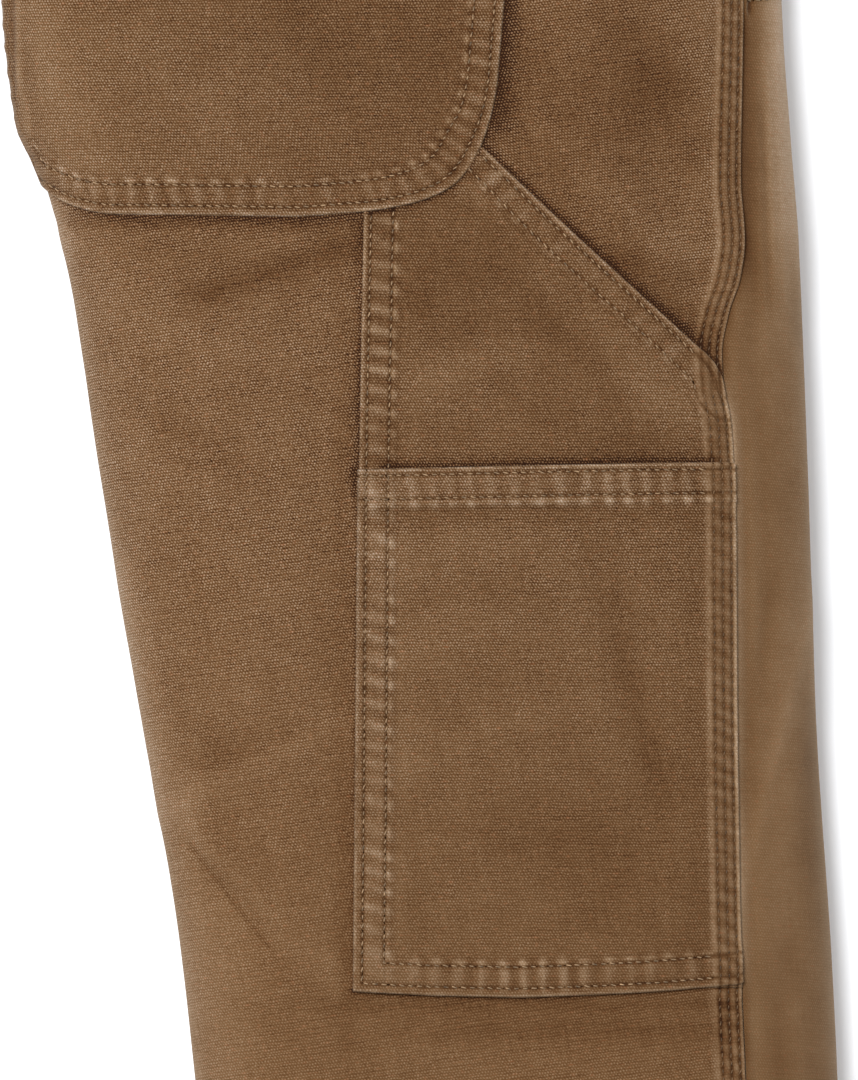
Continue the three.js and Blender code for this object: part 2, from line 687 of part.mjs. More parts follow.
// A mesh from a solid, coloured as its cloth.
function piece(name, body, colour) {
  const mesh = body.getMesh();
  const geometry = new THREE.BufferGeometry();
  geometry.setAttribute("position", new THREE.BufferAttribute(new Float32Array(mesh.vertProperties), 3));
  geometry.setIndex(new THREE.BufferAttribute(new Uint32Array(mesh.triVerts), 1));
  geometry.computeVertexNormals();
  const material = new THREE.MeshStandardMaterial({ color: colour, roughness: 0.9, metalness: 0 });
  const made = new THREE.Mesh(geometry, material);
  made.name = name;
  return made;
}

const pants = new THREE.Group();
pants.add(
  piece("right_back", rightBack(), COLOURS.leg),
  piece("right_yoke", rightYoke(), COLOURS.leg),
  piece("right_front", rightFront(), COLOURS.strip),
  piece("front_pocket_facing", frontPocketFacing(), COLOURS.strip),
  piece("left_front", leftFront(), COLOURS.strip),
  piece("left_back", leftBack(), COLOURS.leg),
  piece("left_yoke", leftYoke(), COLOURS.leg),
  piece("waistband", waistband(), COLOURS.leg),
  piece("folded_layers", foldedLayers(), COLOURS.under),
  piece("back_pocket", backPocket(), COLOURS.patch),
  piece("tool_pocket", toolPocket(), COLOURS.patch),
  piece("utility_pocket", utilityPocket(), COLOURS.patch),
  piece("belt_loop_centre", beltLoop((line) => line.ends[0] + 2), COLOURS.patch),
  piece("belt_loop_back", beltLoop((line) => lengthAtX(line, LOOP_X.back)), COLOURS.patch),
  piece("belt_loop_side", beltLoop((line) => lengthAtX(line, LOOP_X.side)), COLOURS.patch),
);

export default pants;
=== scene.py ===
# %% [markdown]
# Canvas work pants, folded in half lengthwise and laid on a surface
#
# The pants lie with their backs outward and the right half on top. The camera looks straight down on
# the right leg, from the lower part of the back pocket to below the utility pocket. This lesson first
# rebuilds the pile's cross-sections as formulas, then lays each cut piece of cloth on them as a thin
# closed shell, then sews it with small thread stitches, and last gives the cloth its weave and wear,
# with painted sheen and painted shade.

# %% Frame
import math
import bpy
import numpy as np
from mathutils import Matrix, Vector


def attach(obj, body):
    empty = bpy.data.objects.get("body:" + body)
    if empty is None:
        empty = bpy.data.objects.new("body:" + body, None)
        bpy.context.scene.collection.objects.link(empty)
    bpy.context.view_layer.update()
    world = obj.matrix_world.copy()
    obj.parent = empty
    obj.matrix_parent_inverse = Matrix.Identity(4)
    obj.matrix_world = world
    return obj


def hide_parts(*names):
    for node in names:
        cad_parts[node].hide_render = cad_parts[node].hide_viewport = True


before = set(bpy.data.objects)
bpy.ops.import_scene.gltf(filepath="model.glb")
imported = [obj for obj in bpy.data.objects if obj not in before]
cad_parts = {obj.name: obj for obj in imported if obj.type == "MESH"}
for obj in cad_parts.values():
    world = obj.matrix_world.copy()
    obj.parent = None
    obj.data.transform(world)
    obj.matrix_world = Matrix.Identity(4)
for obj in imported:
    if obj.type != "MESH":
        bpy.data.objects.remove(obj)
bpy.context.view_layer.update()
print("CAD nodes:", sorted(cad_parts))

# %% [markdown]
# Sizes
#
# A maker writes a garment down in millimetres, so these are millimetres too, and a mesh is turned into
# metres only when it is made. X runs across the leg, and `down` is the distance below the waist's top
# edge. The photo shows 2.5 pixels to a millimetre, and its top edge lies 178 mm below the waist.

# %% Sizes
MM = 0.001
LENGTH = 1085.0
MIDDLE_X = 172.8
PHOTO_TOP = 178.0
PX = 1 / 2.5
PHOTO_PX = (858, 1080)
PHOTO_BOTTOM = PHOTO_TOP + PHOTO_PX[1] * PX

WALL = 1.5
LAYER_GAP = 1.2
SEAM_GAP = 0.3
BAND_DEPTH = 45.0
YOKE_AT_CENTRE = 96.0
YOKE_AT_SIDE = 78.0
SCOOP_END = 169.5
SCOOP_WIDTH = 115.0
HEM_DEPTH = 13.0
FELL_WIDTH = 10.4
STITCH_PITCH = 3.5


def photo(px, py):
    """The place of a pixel of the photo, as x and distance below the waist."""
    return px * PX, PHOTO_TOP + py * PX


# %% [markdown]
# The pile's cross-sections
#
# Everything lies on one form: a pile of two legs, soft at the edges and nearly level on top. A row of
# this table is one cross-section, and a smooth curve runs from row to row. It holds the left and right
# edges, the height, how far in the top rolls off to either side, how far the legs have parted at the
# left edge, and how flat the pile is pressed. Below it are the outseam's ridge and the largest folds.

# %% Tables of the form
SECTIONS = dict(
    down=(0, 45, 90, 130, 178, 202, 226, 242, 256, 274, 298, 370, 466, 562, 610, 700, 800, 900, 1000, 1085),
    left=(31, 18, 6, 1.4, 2, 3.8, 7, 13.9, 19.5, 24.2, 29.2, 40, 56.8, 72.8, 77.8, 86, 96, 105, 115, 123),
    right=(280, 291, 301, 307.5, 312.8, 314.0, 315.7, 316.9, 318.1, 319.5, 321.2, 323.8, 327.2, 333.5,
           335.8, 338.5, 341, 343.4, 345, 345),
    top=(19, 27, 40, 52, 61, 64, 65, 66, 66, 66, 66, 66, 65, 64, 63, 59, 51, 40, 27, 17.5),
    roll_left=(7, 16, 34, 48, 58, 60, 60, 60, 60, 60, 60, 60, 60, 58, 56, 52, 42, 30, 16, 7),
    roll_right=(7, 20, 46, 72, 88, 92, 94, 95, 95, 95, 95, 95, 95, 92, 88, 80, 62, 42, 20, 7),
    fork=(0, 0, 0, 0, 0, 0, 0.05, 0.2, 0.4, 0.7, 1, 1, 1, 1, 1, 1, 1, 1, 1, 1),
    flat=(1, 0.8, 0.35, 0.1, 0, 0, 0, 0, 0, 0, 0, 0, 0, 0, 0, 0.05, 0.2, 0.45, 0.8, 1),
)
SEAM = dict(
    down=(0, 90, 178, 250, 274, 289, 303, 320, 334, 350, 374, 466, 562, 610, 800, 1085),
    x=(259, 282, 297.6, 296.4, 298, 296.2, 291.6, 288.8, 289.6, 292.4, 293.4, 294.4, 296.4, 298.4, 305,
       312),
)
# From x and down to x and down, then the half width and the depth of each fold.
FOLDS = (
    (72, 510, 101, 552, 9, 2.2),
    (262, 226, 280, 286, 13, 2.4),
    (246, 384, 258, 500, 22, 2.0),
    (70, 306, 130, 330, 16, 1.6),
    (96, 664, 190, 690, 15, 3.0),
    (150, 722, 270, 700, 17, -2.2),
    (112, 770, 176, 742, 13, 2.6),
    (190, 850, 300, 905, 20, 2.4),
)


# %% [markdown]
# Formulas of the form
#
# A smooth curve runs through each column of the tables. A step is a soft S and a bell a soft hump, and
# folds press the form in along straight lines. A side holds one outer line of the pile for every row.

# %% Formulas of the form
def smooth(table, key, down):
    """A curve through a table's column with no overshoot: a cubic between rows, whose slope at a row is
    the harmonic mean of the slopes on its two sides, or nothing where they differ in sign."""
    at = np.asarray(table["down"], float)
    value = np.asarray(table[key], float)
    rise = np.diff(value) / np.diff(at)
    before = rise[:-1]
    after = rise[1:]
    same = before * after > 0
    inner = np.where(same, 2 * before * after / np.where(same, before + after, 1), 0)
    slope = np.concatenate([rise[:1], inner, rise[-1:]])
    down = np.clip(down, at[0], at[-1])
    i = np.clip(np.searchsorted(at, down, side="right") - 1, 0, len(at) - 2)
    span = at[i + 1] - at[i]
    t = (down - at[i]) / span
    s = t * t * (3 - 2 * t)
    bend = span * t * (1 - t)
    return value[i] * (1 - s) + value[i + 1] * s + bend * (slope[i] * (1 - t) - slope[i + 1] * t)


def mix(a, b, t):
    return a + (b - a) * t


def step(x, low, high):
    """Nothing below low, one above high, and a smooth S between."""
    t = np.clip((x - low) / (high - low), 0, 1)
    return t * t * (3 - 2 * t)


def bell(x, width):
    """One in the middle, falling off softly on both sides."""
    return np.exp(-((x / width) ** 2))


def plateau(x, rise, full, fall, end):
    """Nothing below rise, one from full to fall, and nothing above end."""
    return step(x, rise, full) * (1 - step(x, fall, end))


def round_edge(dist, reach):
    """A quarter circle's height, from 0 at an edge to 1 at reach."""
    return np.sqrt(np.clip(1 - (1 - np.clip(dist / reach, 0, 1)) ** 2, 0, 1))


def look_up(table, row, column):
    """A table's value at a row and a column with fractions, between its four nearest entries."""
    row = np.clip(row, 0, table.shape[-2] - 1.001)
    column = np.clip(column, 0, table.shape[-1] - 1.001)
    r = row.astype(int)
    c = column.astype(int)
    share = column - c
    above = mix(table[..., r, c], table[..., r, c + 1], share)
    below = mix(table[..., r + 1, c], table[..., r + 1, c + 1], share)
    return mix(above, below, row - r)


def fold_depth(x, down, folds):
    """How deep the folds press the top: a bell across each, fading past its ends over a quarter of it."""
    depth = np.zeros(np.broadcast(x, down).shape)
    for x0, down0, x1, down1, width, deep in folds:
        run = math.hypot(x1 - x0, down1 - down0)
        along = ((x - x0) * (x1 - x0) + (down - down0) * (down1 - down0)) / run
        across = ((x - x0) * (down1 - down0) - (down - down0) * (x1 - x0)) / run
        outside = np.maximum(0, np.maximum(-along, along - run)) / (run / 4)
        depth += deep * bell(across, width) * bell(outside, 1)
    return depth


def quarter(centre, start, end, steps):
    """A quarter of an ellipse for every row: centre + start·cos + end·sin of an angle that goes from 0
    to 90 degrees."""
    turn = np.linspace(0, math.pi / 2, steps)[None, :]
    (cx, cz), (ax, az), (bx, bz) = [
        [np.asarray(value, float)[:, None] for value in pair] for pair in (centre, start, end)
    ]
    return cx + ax * np.cos(turn) + bx * np.sin(turn), cz + az * np.cos(turn) + bz * np.sin(turn)


class Side:
    """One outer line of the pile for each of many rows, with running lengths, so that a point is found
    from its distance below the waist and its running length s from the first groove."""

    ENTRIES = 701

    def __init__(self, down, parts):
        self.down = down
        cut = parts[:1] + [(x[:, 1:], z[:, 1:]) for x, z in parts[1:]]
        self.x, self.z = (np.concatenate(lines, 1) for lines in zip(*cut))
        stops = np.cumsum([x.shape[1] for x, z in cut]) - 1
        run = np.hypot(np.diff(self.x, axis=1), np.diff(self.z, axis=1))
        self.s = np.concatenate([np.zeros((len(down), 1)), np.cumsum(run, 1)], 1)
        self.ends = self.s[:, stops]
        share = np.linspace(0, 1, self.ENTRIES)
        self.table = np.empty((4, len(down), self.ENTRIES))
        for number, (x, z, s) in enumerate(zip(self.x, self.z, self.s)):
            at = share * s[-1]
            self.table[0, number] = np.interp(at, s, x)
            self.table[1, number] = np.interp(at, s, z)
        dx = np.gradient(self.table[0], axis=1)
        dz = np.gradient(self.table[1], axis=1)
        size = np.hypot(dx, dz) + 1e-9
        self.table[2] = -dz / size
        self.table[3] = dx / size

    def row(self, down):
        """The row's number, with its fraction, for a distance below the waist."""
        return np.interp(down, self.down, np.arange(len(self.down)))

    def per_row(self, values, down):
        return np.interp(down, self.down, values)

    def at(self, down, s):
        """x, z and the outward normal there, read between the four nearest entries of the table."""
        share = s / self.per_row(self.s[:, -1], down)
        return look_up(self.table, self.row(down), share * (self.ENTRIES - 1))


# How many points a row has in a groove, round the left and right edges, and on the level stretches.
GROOVE_POINTS = 24
LEFT_POINTS = 60
RIGHT_POINTS = 90
LEVEL_POINTS = 80
LOWER_POINTS = 40
LEFT_GROOVE = 14.0
RIGHT_GROOVE = 12.0
END_GROOVE = 6.0
LOWER_INSET = 5.0
END_INSET = 1.0
ROWS = np.arange(0.0, LENGTH + 0.5, 1.0)


def section_sizes(down):
    """The sizes of the cross-sections at these rows, as the table gives them and as follows from it."""
    c = {key: smooth(SECTIONS, key, down) for key in SECTIONS if key != "down"}
    fork, flat, top = c["fork"], c["flat"], c["top"]
    c["left_inset"] = fork * mix(LOWER_INSET, END_INSET, flat)
    c["right_inset"] = mix(LOWER_INSET, END_INSET, flat)
    c["left_groove"] = fork * mix(LEFT_GROOVE, END_GROOVE, flat)
    c["right_groove"] = mix(RIGHT_GROOVE, END_GROOVE, flat)
    c["left_middle"] = top * mix(mix(0.36, 0.46, fork), 0.5, flat)
    c["right_middle"] = top * mix(0.28, 0.5, flat)
    c["left_wide"] = top * mix(mix(0.5, 0.61, fork), 0.76, flat)
    c["right_wide"] = top * mix(0.4, 0.76, flat)
    return c


def upper_side():
    """From the left groove round the left edge, over the top and round the right edge: a quarter of an
    ellipse under the edge, one up to the top, a level stretch, and the same again down the right."""
    c = section_sizes(ROWS)
    none = np.zeros(len(ROWS))
    half = LAYER_GAP / 2
    left_in = c["left"] + c["left_groove"]
    right_in = c["right"] - c["right_groove"]
    level_from = c["left"] + c["roll_left"]
    level_to = c["right"] - c["roll_right"]
    left_end = c["left_middle"] + half - c["left_wide"]
    right_end = c["right_middle"] + half - c["right_wide"]
    under = quarter((left_in, c["left_wide"]), (none, left_end), (-c["left_groove"], none),
                    GROOVE_POINTS)
    left = quarter((level_from, c["left_wide"]), (-c["roll_left"], none),
                   (none, c["top"] - c["left_wide"]), LEFT_POINTS)
    share = np.linspace(0, 1, LEVEL_POINTS)[None, :]
    level = mix(level_from[:, None], level_to[:, None], share), c["top"][:, None] + 0 * share
    right = quarter((level_to, c["right_wide"]), (none, c["top"] - c["right_wide"]),
                    (c["roll_right"], none), RIGHT_POINTS)
    tuck = quarter((right_in, c["right_wide"]), (c["right_groove"], none), (none, right_end),
                   GROOVE_POINTS)
    middle = ((level_from + level_to) / 2)[:, None]
    parts = [under]
    for x, z in (left, level, right):
        low = np.where(x < middle, c["left_wide"][:, None], c["right_wide"][:, None])
        free = np.maximum(0, (z - low) / (c["top"][:, None] - low))
        parts.append((x, z - fold_depth(x, ROWS[:, None], FOLDS) * free))
    return Side(ROWS, parts + [tuck])


def lower_side():
    """From the right groove round the lower edge, along the surface and up to the left groove."""
    c = section_sizes(ROWS)
    none = np.zeros(len(ROWS))
    half = LAYER_GAP / 2
    right_wide = (c["right_middle"] - half) / 2
    left_wide = (c["left_middle"] - half) * mix(0.6, 0.5, c["left_groove"] / LEFT_GROOVE)
    roll_right = c["right_groove"] + 2
    roll_left = np.minimum(c["roll_left"] * 0.6, 20)
    right_foot = c["right"] - c["right_inset"] - roll_right
    left_foot = c["left"] + c["left_inset"] + roll_left
    tuck = quarter((c["right"] - c["right_groove"], right_wide),
                   (none, c["right_middle"] - half - right_wide),
                   (c["right_groove"] - c["right_inset"], none), GROOVE_POINTS)
    right = quarter((right_foot, right_wide), (roll_right, none), (none, -right_wide), LOWER_POINTS)
    share = np.linspace(0, 1, LOWER_POINTS)[None, :]
    level = mix(right_foot[:, None], left_foot[:, None], share), none[:, None] + 0 * share
    left = quarter((left_foot, left_wide), (none, -left_wide), (-roll_left, none), LOWER_POINTS)
    under = quarter((c["left"] + c["left_groove"], left_wide), (c["left_inset"] - c["left_groove"], none),
                    (none, c["left_middle"] - half - left_wide), GROOVE_POINTS)
    return Side(ROWS, [tuck, right, level, left, under])


upper = upper_side()
lower = lower_side()


X_TABLE = np.arange(0.0, 350.0, 1.0)
S_TABLE = np.empty((len(ROWS), len(X_TABLE)))
for number in range(len(ROWS)):
    start = np.searchsorted(upper.s[number], upper.ends[number, 0])
    stop = np.searchsorted(upper.s[number], upper.ends[number, 3])
    S_TABLE[number] = np.interp(X_TABLE, upper.x[number, start:stop], upper.s[number, start:stop])


def s_of_x(down, x):
    """The running length at which the top side passes x. The table holds it for every millimetre."""
    return look_up(S_TABLE, upper.row(down), x)


seam_s = s_of_x(ROWS, smooth(SEAM, "x", ROWS))


def seam_at(down):
    """The running length of the outseam's ridge."""
    return upper.per_row(seam_s, down)


def places(side, s, down, lift):
    """Places in metres, from a running length, a distance below the waist and a height off the pile."""
    x, z, nx, nz = side.at(down, s)
    return np.stack([x + nx * lift - MIDDLE_X, LENGTH / 2 - down, z + nz * lift], -1) * MM


print("outseam's running length at the photo's top and bottom:",
      seam_at(PHOTO_TOP).round(1), seam_at(PHOTO_BOTTOM).round(1))

# %% [markdown]
# Soft unevenness
#
# Washed canvas is never quite smooth. Smooth noise is a grid of random heights with a smooth curve
# between them, and several of them at different sizes give the slow waves and the fine ripple. On top
# of it come the photo's own creases, which are shallower than the folds of the form.

# %% Noise and creases
NOISE_CELLS = 257


def soft_noise(a, b, size_a, size_b, seed):
    """Random heights from -1 to 1 on a grid of the given cell sizes, with an S-shaped blend between."""
    grid = np.random.default_rng(seed).uniform(-1, 1, (NOISE_CELLS, NOISE_CELLS))
    u = np.asarray(a, float) / size_a
    v = np.asarray(b, float) / size_b
    i = np.floor(u).astype(int)
    j = np.floor(v).astype(int)
    across = step(u - i, 0, 1)

    def row(j):
        one, other = grid[i % NOISE_CELLS, j % NOISE_CELLS], grid[(i + 1) % NOISE_CELLS, j % NOISE_CELLS]
        return mix(one, other, across)

    return mix(row(j), row(j + 1), step(v - j, 0, 1))


# From x and down to x and down, half width, depth. Negative ones are ridges.
CREASES = (
    (76.5, 516, 86, 531, 2.6, 0.9),
    (86, 531, 99, 545, 4.5, 0.7),
    (60, 500, 84, 520, 9, -0.7),
    (66, 280, 96, 276, 8, 0.5),
    (118, 300, 126, 350, 10, 0.5),
    (40, 330, 66, 348, 8, 0.4),
    (96, 420, 112, 520, 14, -0.5),
    (128, 380, 134, 560, 6, 0.5),
    (300, 240, 306, 420, 5, 0.5),
    (304, 430, 314, 560, 6, 0.4),
    (240, 226, 262, 250, 9, 0.7),
    (170, 610, 250, 590, 10, 0.6),
    (110, 640, 150, 622, 9, 0.7),
    (90, 700, 130, 690, 7, 0.8),
    (200, 655, 280, 640, 9, -0.7),
    (230, 760, 290, 752, 8, 0.8),
    (140, 820, 210, 836, 10, 0.6),
    (150, 960, 250, 972, 12, 0.7),
    (70, 140, 150, 128, 12, 0.5),
    (60, 70, 140, 66, 8, 0.5),
)


def relief(x, down):
    """The height added to every layer on top: slow waves, a finer ripple and the creases."""
    slow = 0.55 * soft_noise(x, down, 46, 62, 11) + 0.28 * soft_noise(x + 0.2 * down, down, 21, 27, 12)
    fine = 0.07 * soft_noise(x, down + 0.3 * x, 7, 8, 13)
    return slow + fine - fold_depth(x, down, CREASES)


# Soft strokes in pixels of the photo: from x, y to x, y, half width and strength. A positive one presses
# a trough and paints shade on it, and a negative one raises a ridge and paints a highlight on it.
STROKES = dict(
    leg=(
        (110, 222, 350, 224, 9, 0.45), (215, 292, 350, 246, 15, 0.7), (150, 250, 200, 300, 18, 0.2),
        (120, 300, 205, 360, 30, -0.3), (100, 330, 145, 470, 22, -0.22), (331, 250, 345, 330, 9, 0.25),
        (180, 440, 250, 470, 25, 0.15), (230, 560, 300, 600, 30, -0.12), (205, 762, 285, 735, 13, 0.3),
        (190, 800, 340, 722, 11, -0.3), (341, 480, 345, 980, 9, 0.35), (326, 560, 335, 900, 22, 0.15),
        (191, 846, 270, 950, 6, 0.18), (205, 842, 280, 925, 8, -0.25), (196, 780, 186, 835, 13, -0.35),
        (212, 950, 228, 1075, 20, -0.3), (380, 1006, 720, 1004, 9, 0.55), (480, 1030, 700, 1030, 13, 0.4),
        (400, 1052, 480, 1075, 20, -0.2), (722, 995, 726, 1075, 8, 0.3), (600, -30, 590, 130, 80, 0.3),
        (610, 100, 620, 230, 80, 0.25), (48, 150, 66, 240, 12, -0.45), (190, 830, 212, 1070, 14, -0.25),
        (640, 268, 706, 335, 13, 0.3), (128, 600, 165, 790, 16, -0.5), (100, 205, 112, 235, 14, -0.15),
        (100, 235, 330, 265, 36, 0.1), (210, 262, 290, 300, 26, 0.20), (200, 380, 330, 390, 26, 0.12),
        (130, 410, 190, 430, 16, 0.18), (540, 180, 640, 220, 40, 0.28), (610, 20, 690, 90, 30, 0.20),
        (630, 262, 700, 278, 14, 0.38), (190, 800, 215, 880, 10, -0.20), (90, 300, 110, 350, 12, 0.2),
        (215, 310, 225, 390, 14, 0.16), (255, 215, 310, 225, 12, 0.2), (510, 90, 530, 150, 16, 0.2),
        (738, 960, 742, 1040, 8, -0.3), (236, 930, 250, 1080, 22, -0.35), (330, 960, 345, 1010, 10, -0.3),
        (380, 1030, 720, 1030, 40, 0.25), (645, 50, 690, 150, 28, 0.35), (545, 60, 640, 100, 38, 0.3),
        (560, 240, 690, 315, 20, 0.4), (530, 40, 560, 110, 20, 0.2), (600, 190, 672, 250, 24, -0.3),
        (565, 60, 600, 110, 25, -0.15), (706, 20, 712, 230, 8, -0.25), (520, 150, 560, 190, 20, 0.2),
    ),
    back_pocket=(
        (340, -30, 420, 150, 110, 0.3), (50, 30, 95, 170, 24, -0.35), (120, 0, 330, 0, 40, 0.15),
        (50, 0, 70, 140, 38, -0.3), (150, 40, 230, 110, 45, -0.15), (260, 20, 420, 60, 50, 0.15),
        (20, -20, 21, 70, 2.6, -1.2), (21, 70, 31, 125, 3.2, -0.9), (12.5, -20, 15.5, 100, 4.2, 0.5),
        (34, 10, 62, 160, 16, -0.35), (90, 196, 440, 200, 8, 0.12), (440, -20, 445, 130, 14, 0.12),
        (240, 120, 300, 150, 20, 0.15), (140, -10, 200, 60, 30, 0.2), (440, -20, 470, 60, 20, 0.35),
        (452, 168, 472, 172, 12, 0.55), (330, 60, 345, 130, 30, 0.15), (400, 20, 450, 130, 28, 0.2),
        (110, 150, 330, 160, 16, 0.08), (280, 80, 340, 120, 25, -0.1), (80, 162, 130, 168, 12, -0.22),
        (24, 105, 30, 140, 8, -0.35),
    ),
    tool=(
        (400, 260, 600, 440, 80, 0.22), (430, 230, 560, 320, 40, 0.3), (640, 370, 690, 440, 20, -0.25),
        (415, 272, 505, 256, 28, 0.3), (425, 380, 512, 352, 21, -0.5), (540, 320, 625, 400, 20, 0.25),
        (640, 392, 692, 400, 17, -0.25), (610, 440, 700, 440, 13, 0.3), (404, 430, 470, 440, 14, 0.2),
        (470, 215, 520, 250, 12, 0.25), (410, 300, 470, 330, 20, 0.28), (380, 300, 385, 420, 12, 0.2),
        (378, 210, 384, 240, 12, 0.2), (455, 205, 540, 225, 12, 0.2), (500, 370, 560, 420, 24, 0.16),
        (736, 370, 740, 462, 8, -0.2),
    ),
    utility=(
        (560, 850, 700, 960, 60, 0.25), (625, 600, 652, 780, 10, 0.12), (385, 520, 385, 950, 30, -0.35),
        (362, 474, 376, 506, 9, -0.9), (366, 960, 382, 972, 8, -0.6), (500, 600, 640, 760, 60, 0.12),
        (400, 540, 545, 562, 30, -0.25), (400, 652, 505, 624, 15, -0.3), (400, 604, 485, 590, 13, 0.15),
        (604, 588, 658, 780, 18, 0.38), (568, 600, 602, 725, 20, -0.15), (500, 822, 625, 852, 40, 0.2),
        (400, 764, 525, 720, 17, -0.22), (692, 540, 700, 900, 13, 0.2), (408, 820, 418, 920, 13, 0.2),
        (392, 520, 700, 516, 7, 0.3), (560, 900, 700, 880, 25, 0.1), (440, 700, 470, 690, 18, 0.08),
        (378, 515, 430, 525, 12, 0.4), (372, 468, 386, 474, 8, -0.3), (738, 462, 740, 740, 8, -0.35),
        (530, 560, 552, 600, 18, 0.12), (500, 915, 600, 925, 12, 0.15), (392, 503, 560, 501, 3.2, -0.5),
        (560, 501, 700, 499, 3.2, -0.35), (392, 511, 560, 509, 3, 0.25),
    ),
    front=(
        (814, 740, 826, 1080, 17, 0.42), (770, 380, 800, 560, 25, 0.2), (747, 55, 749, 235, 8, 0.6),
        (776, -20, 794, 225, 14, -1.15), (752, -8, 752, 9, 2.4, 1.1), (746, -8, 747, 12, 2, -0.5),
        (747, 250, 770, 560, 12, 0.2), (762, 330, 792, 430, 14, -0.15), (802, 650, 754, 850, 8, -0.4),
        (772, 600, 746, 765, 10, 0.35), (817, 720, 792, 950, 12, 0.25), (744, 400, 747, 800, 5, 0.1),
        (760, 900, 752, 1070, 10, -0.2), (800, 960, 815, 1075, 12, 0.2), (780, 370, 785, 500, 14, 0.25),
        (778, 1000, 785, 1080, 14, 0.3), (812, 600, 818, 690, 8, -0.55), (815, 770, 822, 890, 14, 0.2),
        (757, -10, 757, 250, 9, 0.4), (775, 60, 783, 260, 5, -0.35), (765, 130, 770, 280, 4, 0.35),
        (776, -10, 778, 60, 4, -0.5), (768, 90, 774, 240, 3.5, -0.35), (778, 1040, 782, 1080, 14, 0.25),
        (750, 950, 800, 1080, 30, 0.12), (790, 250, 800, 330, 7, 0.3), (752, 480, 758, 700, 7, -0.25),
    ),
)
STROKE_DEPTH = 1.1


def tone(piece, x, down):
    """How far the strokes of a piece press it in and paint shade on it, where less than nothing raises it
    and paints a highlight: soft bells across each stroke, fading past its ends.
    """
    strokes = np.array(STROKES[piece], float)
    ends = strokes[:, :4] * PX + np.array([0, PHOTO_TOP, 0, PHOTO_TOP])
    folds = np.concatenate([ends, strokes[:, 4:5] * PX, strokes[:, 5:]], 1)
    return fold_depth(x, down, folds)


print("relief over the leg, mm:", relief(np.array([60.0, 150, 240]), np.array([300.0, 400, 500])).round(2))

# %% [markdown]
# From grids to meshes
#
# A cloth piece is a closed thin shell: a grid of points on its face, the same grid on its back, and a
# strip round the rim. Each point also carries its place in the cut cloth, in metres, for the weave, and
# two numbers for its colour: how far it is paler, from rubbing and from painted sheen, and how much
# shade is painted on it, in creases, grooves and beside edges, where less than nothing paints a highlight.

# %% Mesh helpers
def shell_faces(rows, columns):
    """The quads of a face grid, a back grid turned the other way, and the rim between them."""
    n = rows * columns
    a = (np.arange(rows - 1)[:, None] * columns + np.arange(columns - 1)[None, :]).ravel()
    face = np.stack([a, a + columns, a + columns + 1, a + 1], 1)
    back = np.stack([a, a + 1, a + columns + 1, a + columns], 1) + n
    top = np.arange(columns)
    right = np.arange(1, rows) * columns + columns - 1
    bottom = (rows - 1) * columns + np.arange(columns - 2, -1, -1)
    left = np.arange(rows - 2, 0, -1) * columns
    edge = np.concatenate([top, right, bottom, left])
    after = np.roll(edge, -1)
    rim = np.stack([edge, after, after + n, edge + n], 1)
    return np.concatenate([face, back, rim])


def mesh_piece(name, points, faces, material, uv=None, marks=()):
    """A mesh object from points in metres that rides on the root. Its faces are turned to point out if
    its volume says so, and each of its marks is a name with a number for every point."""
    points = np.asarray(points, np.float32)
    p = points[faces]
    volume = (p[:, 0] * np.cross(p[:, 1], p[:, 2])).sum() + (p[:, 0] * np.cross(p[:, 2], p[:, -1])).sum()
    if volume < 0:
        faces = faces[:, ::-1]
    mesh = bpy.data.meshes.new(name)
    mesh.vertices.add(len(points))
    mesh.vertices.foreach_set("co", points.ravel())
    mesh.loops.add(faces.size)
    mesh.loops.foreach_set("vertex_index", faces.ravel().astype(np.int32))
    mesh.polygons.add(len(faces))
    starts = np.arange(0, faces.size, faces.shape[1], dtype=np.int32)
    mesh.polygons.foreach_set("loop_start", starts)
    mesh.update(calc_edges=True)
    mesh.polygons.foreach_set("use_smooth", np.full(len(faces), True))
    if uv is not None:
        layer = mesh.uv_layers.new(name="cloth")
        layer.uv.foreach_set("vector", uv[faces.ravel()].astype(np.float32).ravel())
    for key, values in marks:
        made = mesh.attributes.new(key, "FLOAT", "POINT")
        made.data.foreach_set("value", values.astype(np.float32))
    mesh.validate()
    mesh.materials.append(material)
    piece = bpy.data.objects.new(name, mesh)
    bpy.context.collection.objects.link(piece)
    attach(piece, "root")
    return piece


def cut_place(across, along, lean):
    """The place in the cut cloth, in metres, turned so that the grain leans by this many degrees."""
    c = math.cos(math.radians(lean))
    s = math.sin(math.radians(lean))
    return np.stack([(across * c - along * s) * MM, (across * s + along * c) * MM], -1)


PILE = ("folded_layers",)


def sheet(node, outer, inner, uv, wear_and_sheen, shade, finish, flat, on=PILE, held="folded"):
    """A closed shell between two grids of places: cloth that stands for a CAD node. Finish is its
    material and its slot in the record; the slot is not used. Flat, the size of its cut, is not used."""
    material, slot = finish
    rows, columns = outer.shape[:2]
    points = np.concatenate([outer.reshape(-1, 3), inner.reshape(-1, 3)])
    marks = [
        (key, np.tile(np.broadcast_to(values, (rows, columns)).ravel(), 2))
        for key, values in (("wear_and_sheen", wear_and_sheen), ("shade", shade))
    ]
    both = np.tile(uv.reshape(-1, 2), (2, 1))
    piece = mesh_piece(node + "_cloth", points, shell_faces(rows, columns), material, both, marks)
    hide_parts(node)


def cloth(node, side, down, s, surface, back, lean, *what):
    """A sheet on one side of the pile, from grids of down and s. Its surface is the height of its face
    above the pile with its wear and painted sheen and its painted shade, and back is the height of its
    back."""
    face, wear_and_sheen, shade = surface
    outer = places(side, s, down, face)
    sheet(node, outer, places(side, s, down, back), cut_place(s, down, lean), wear_and_sheen, shade, *what)


print("helpers are ready")
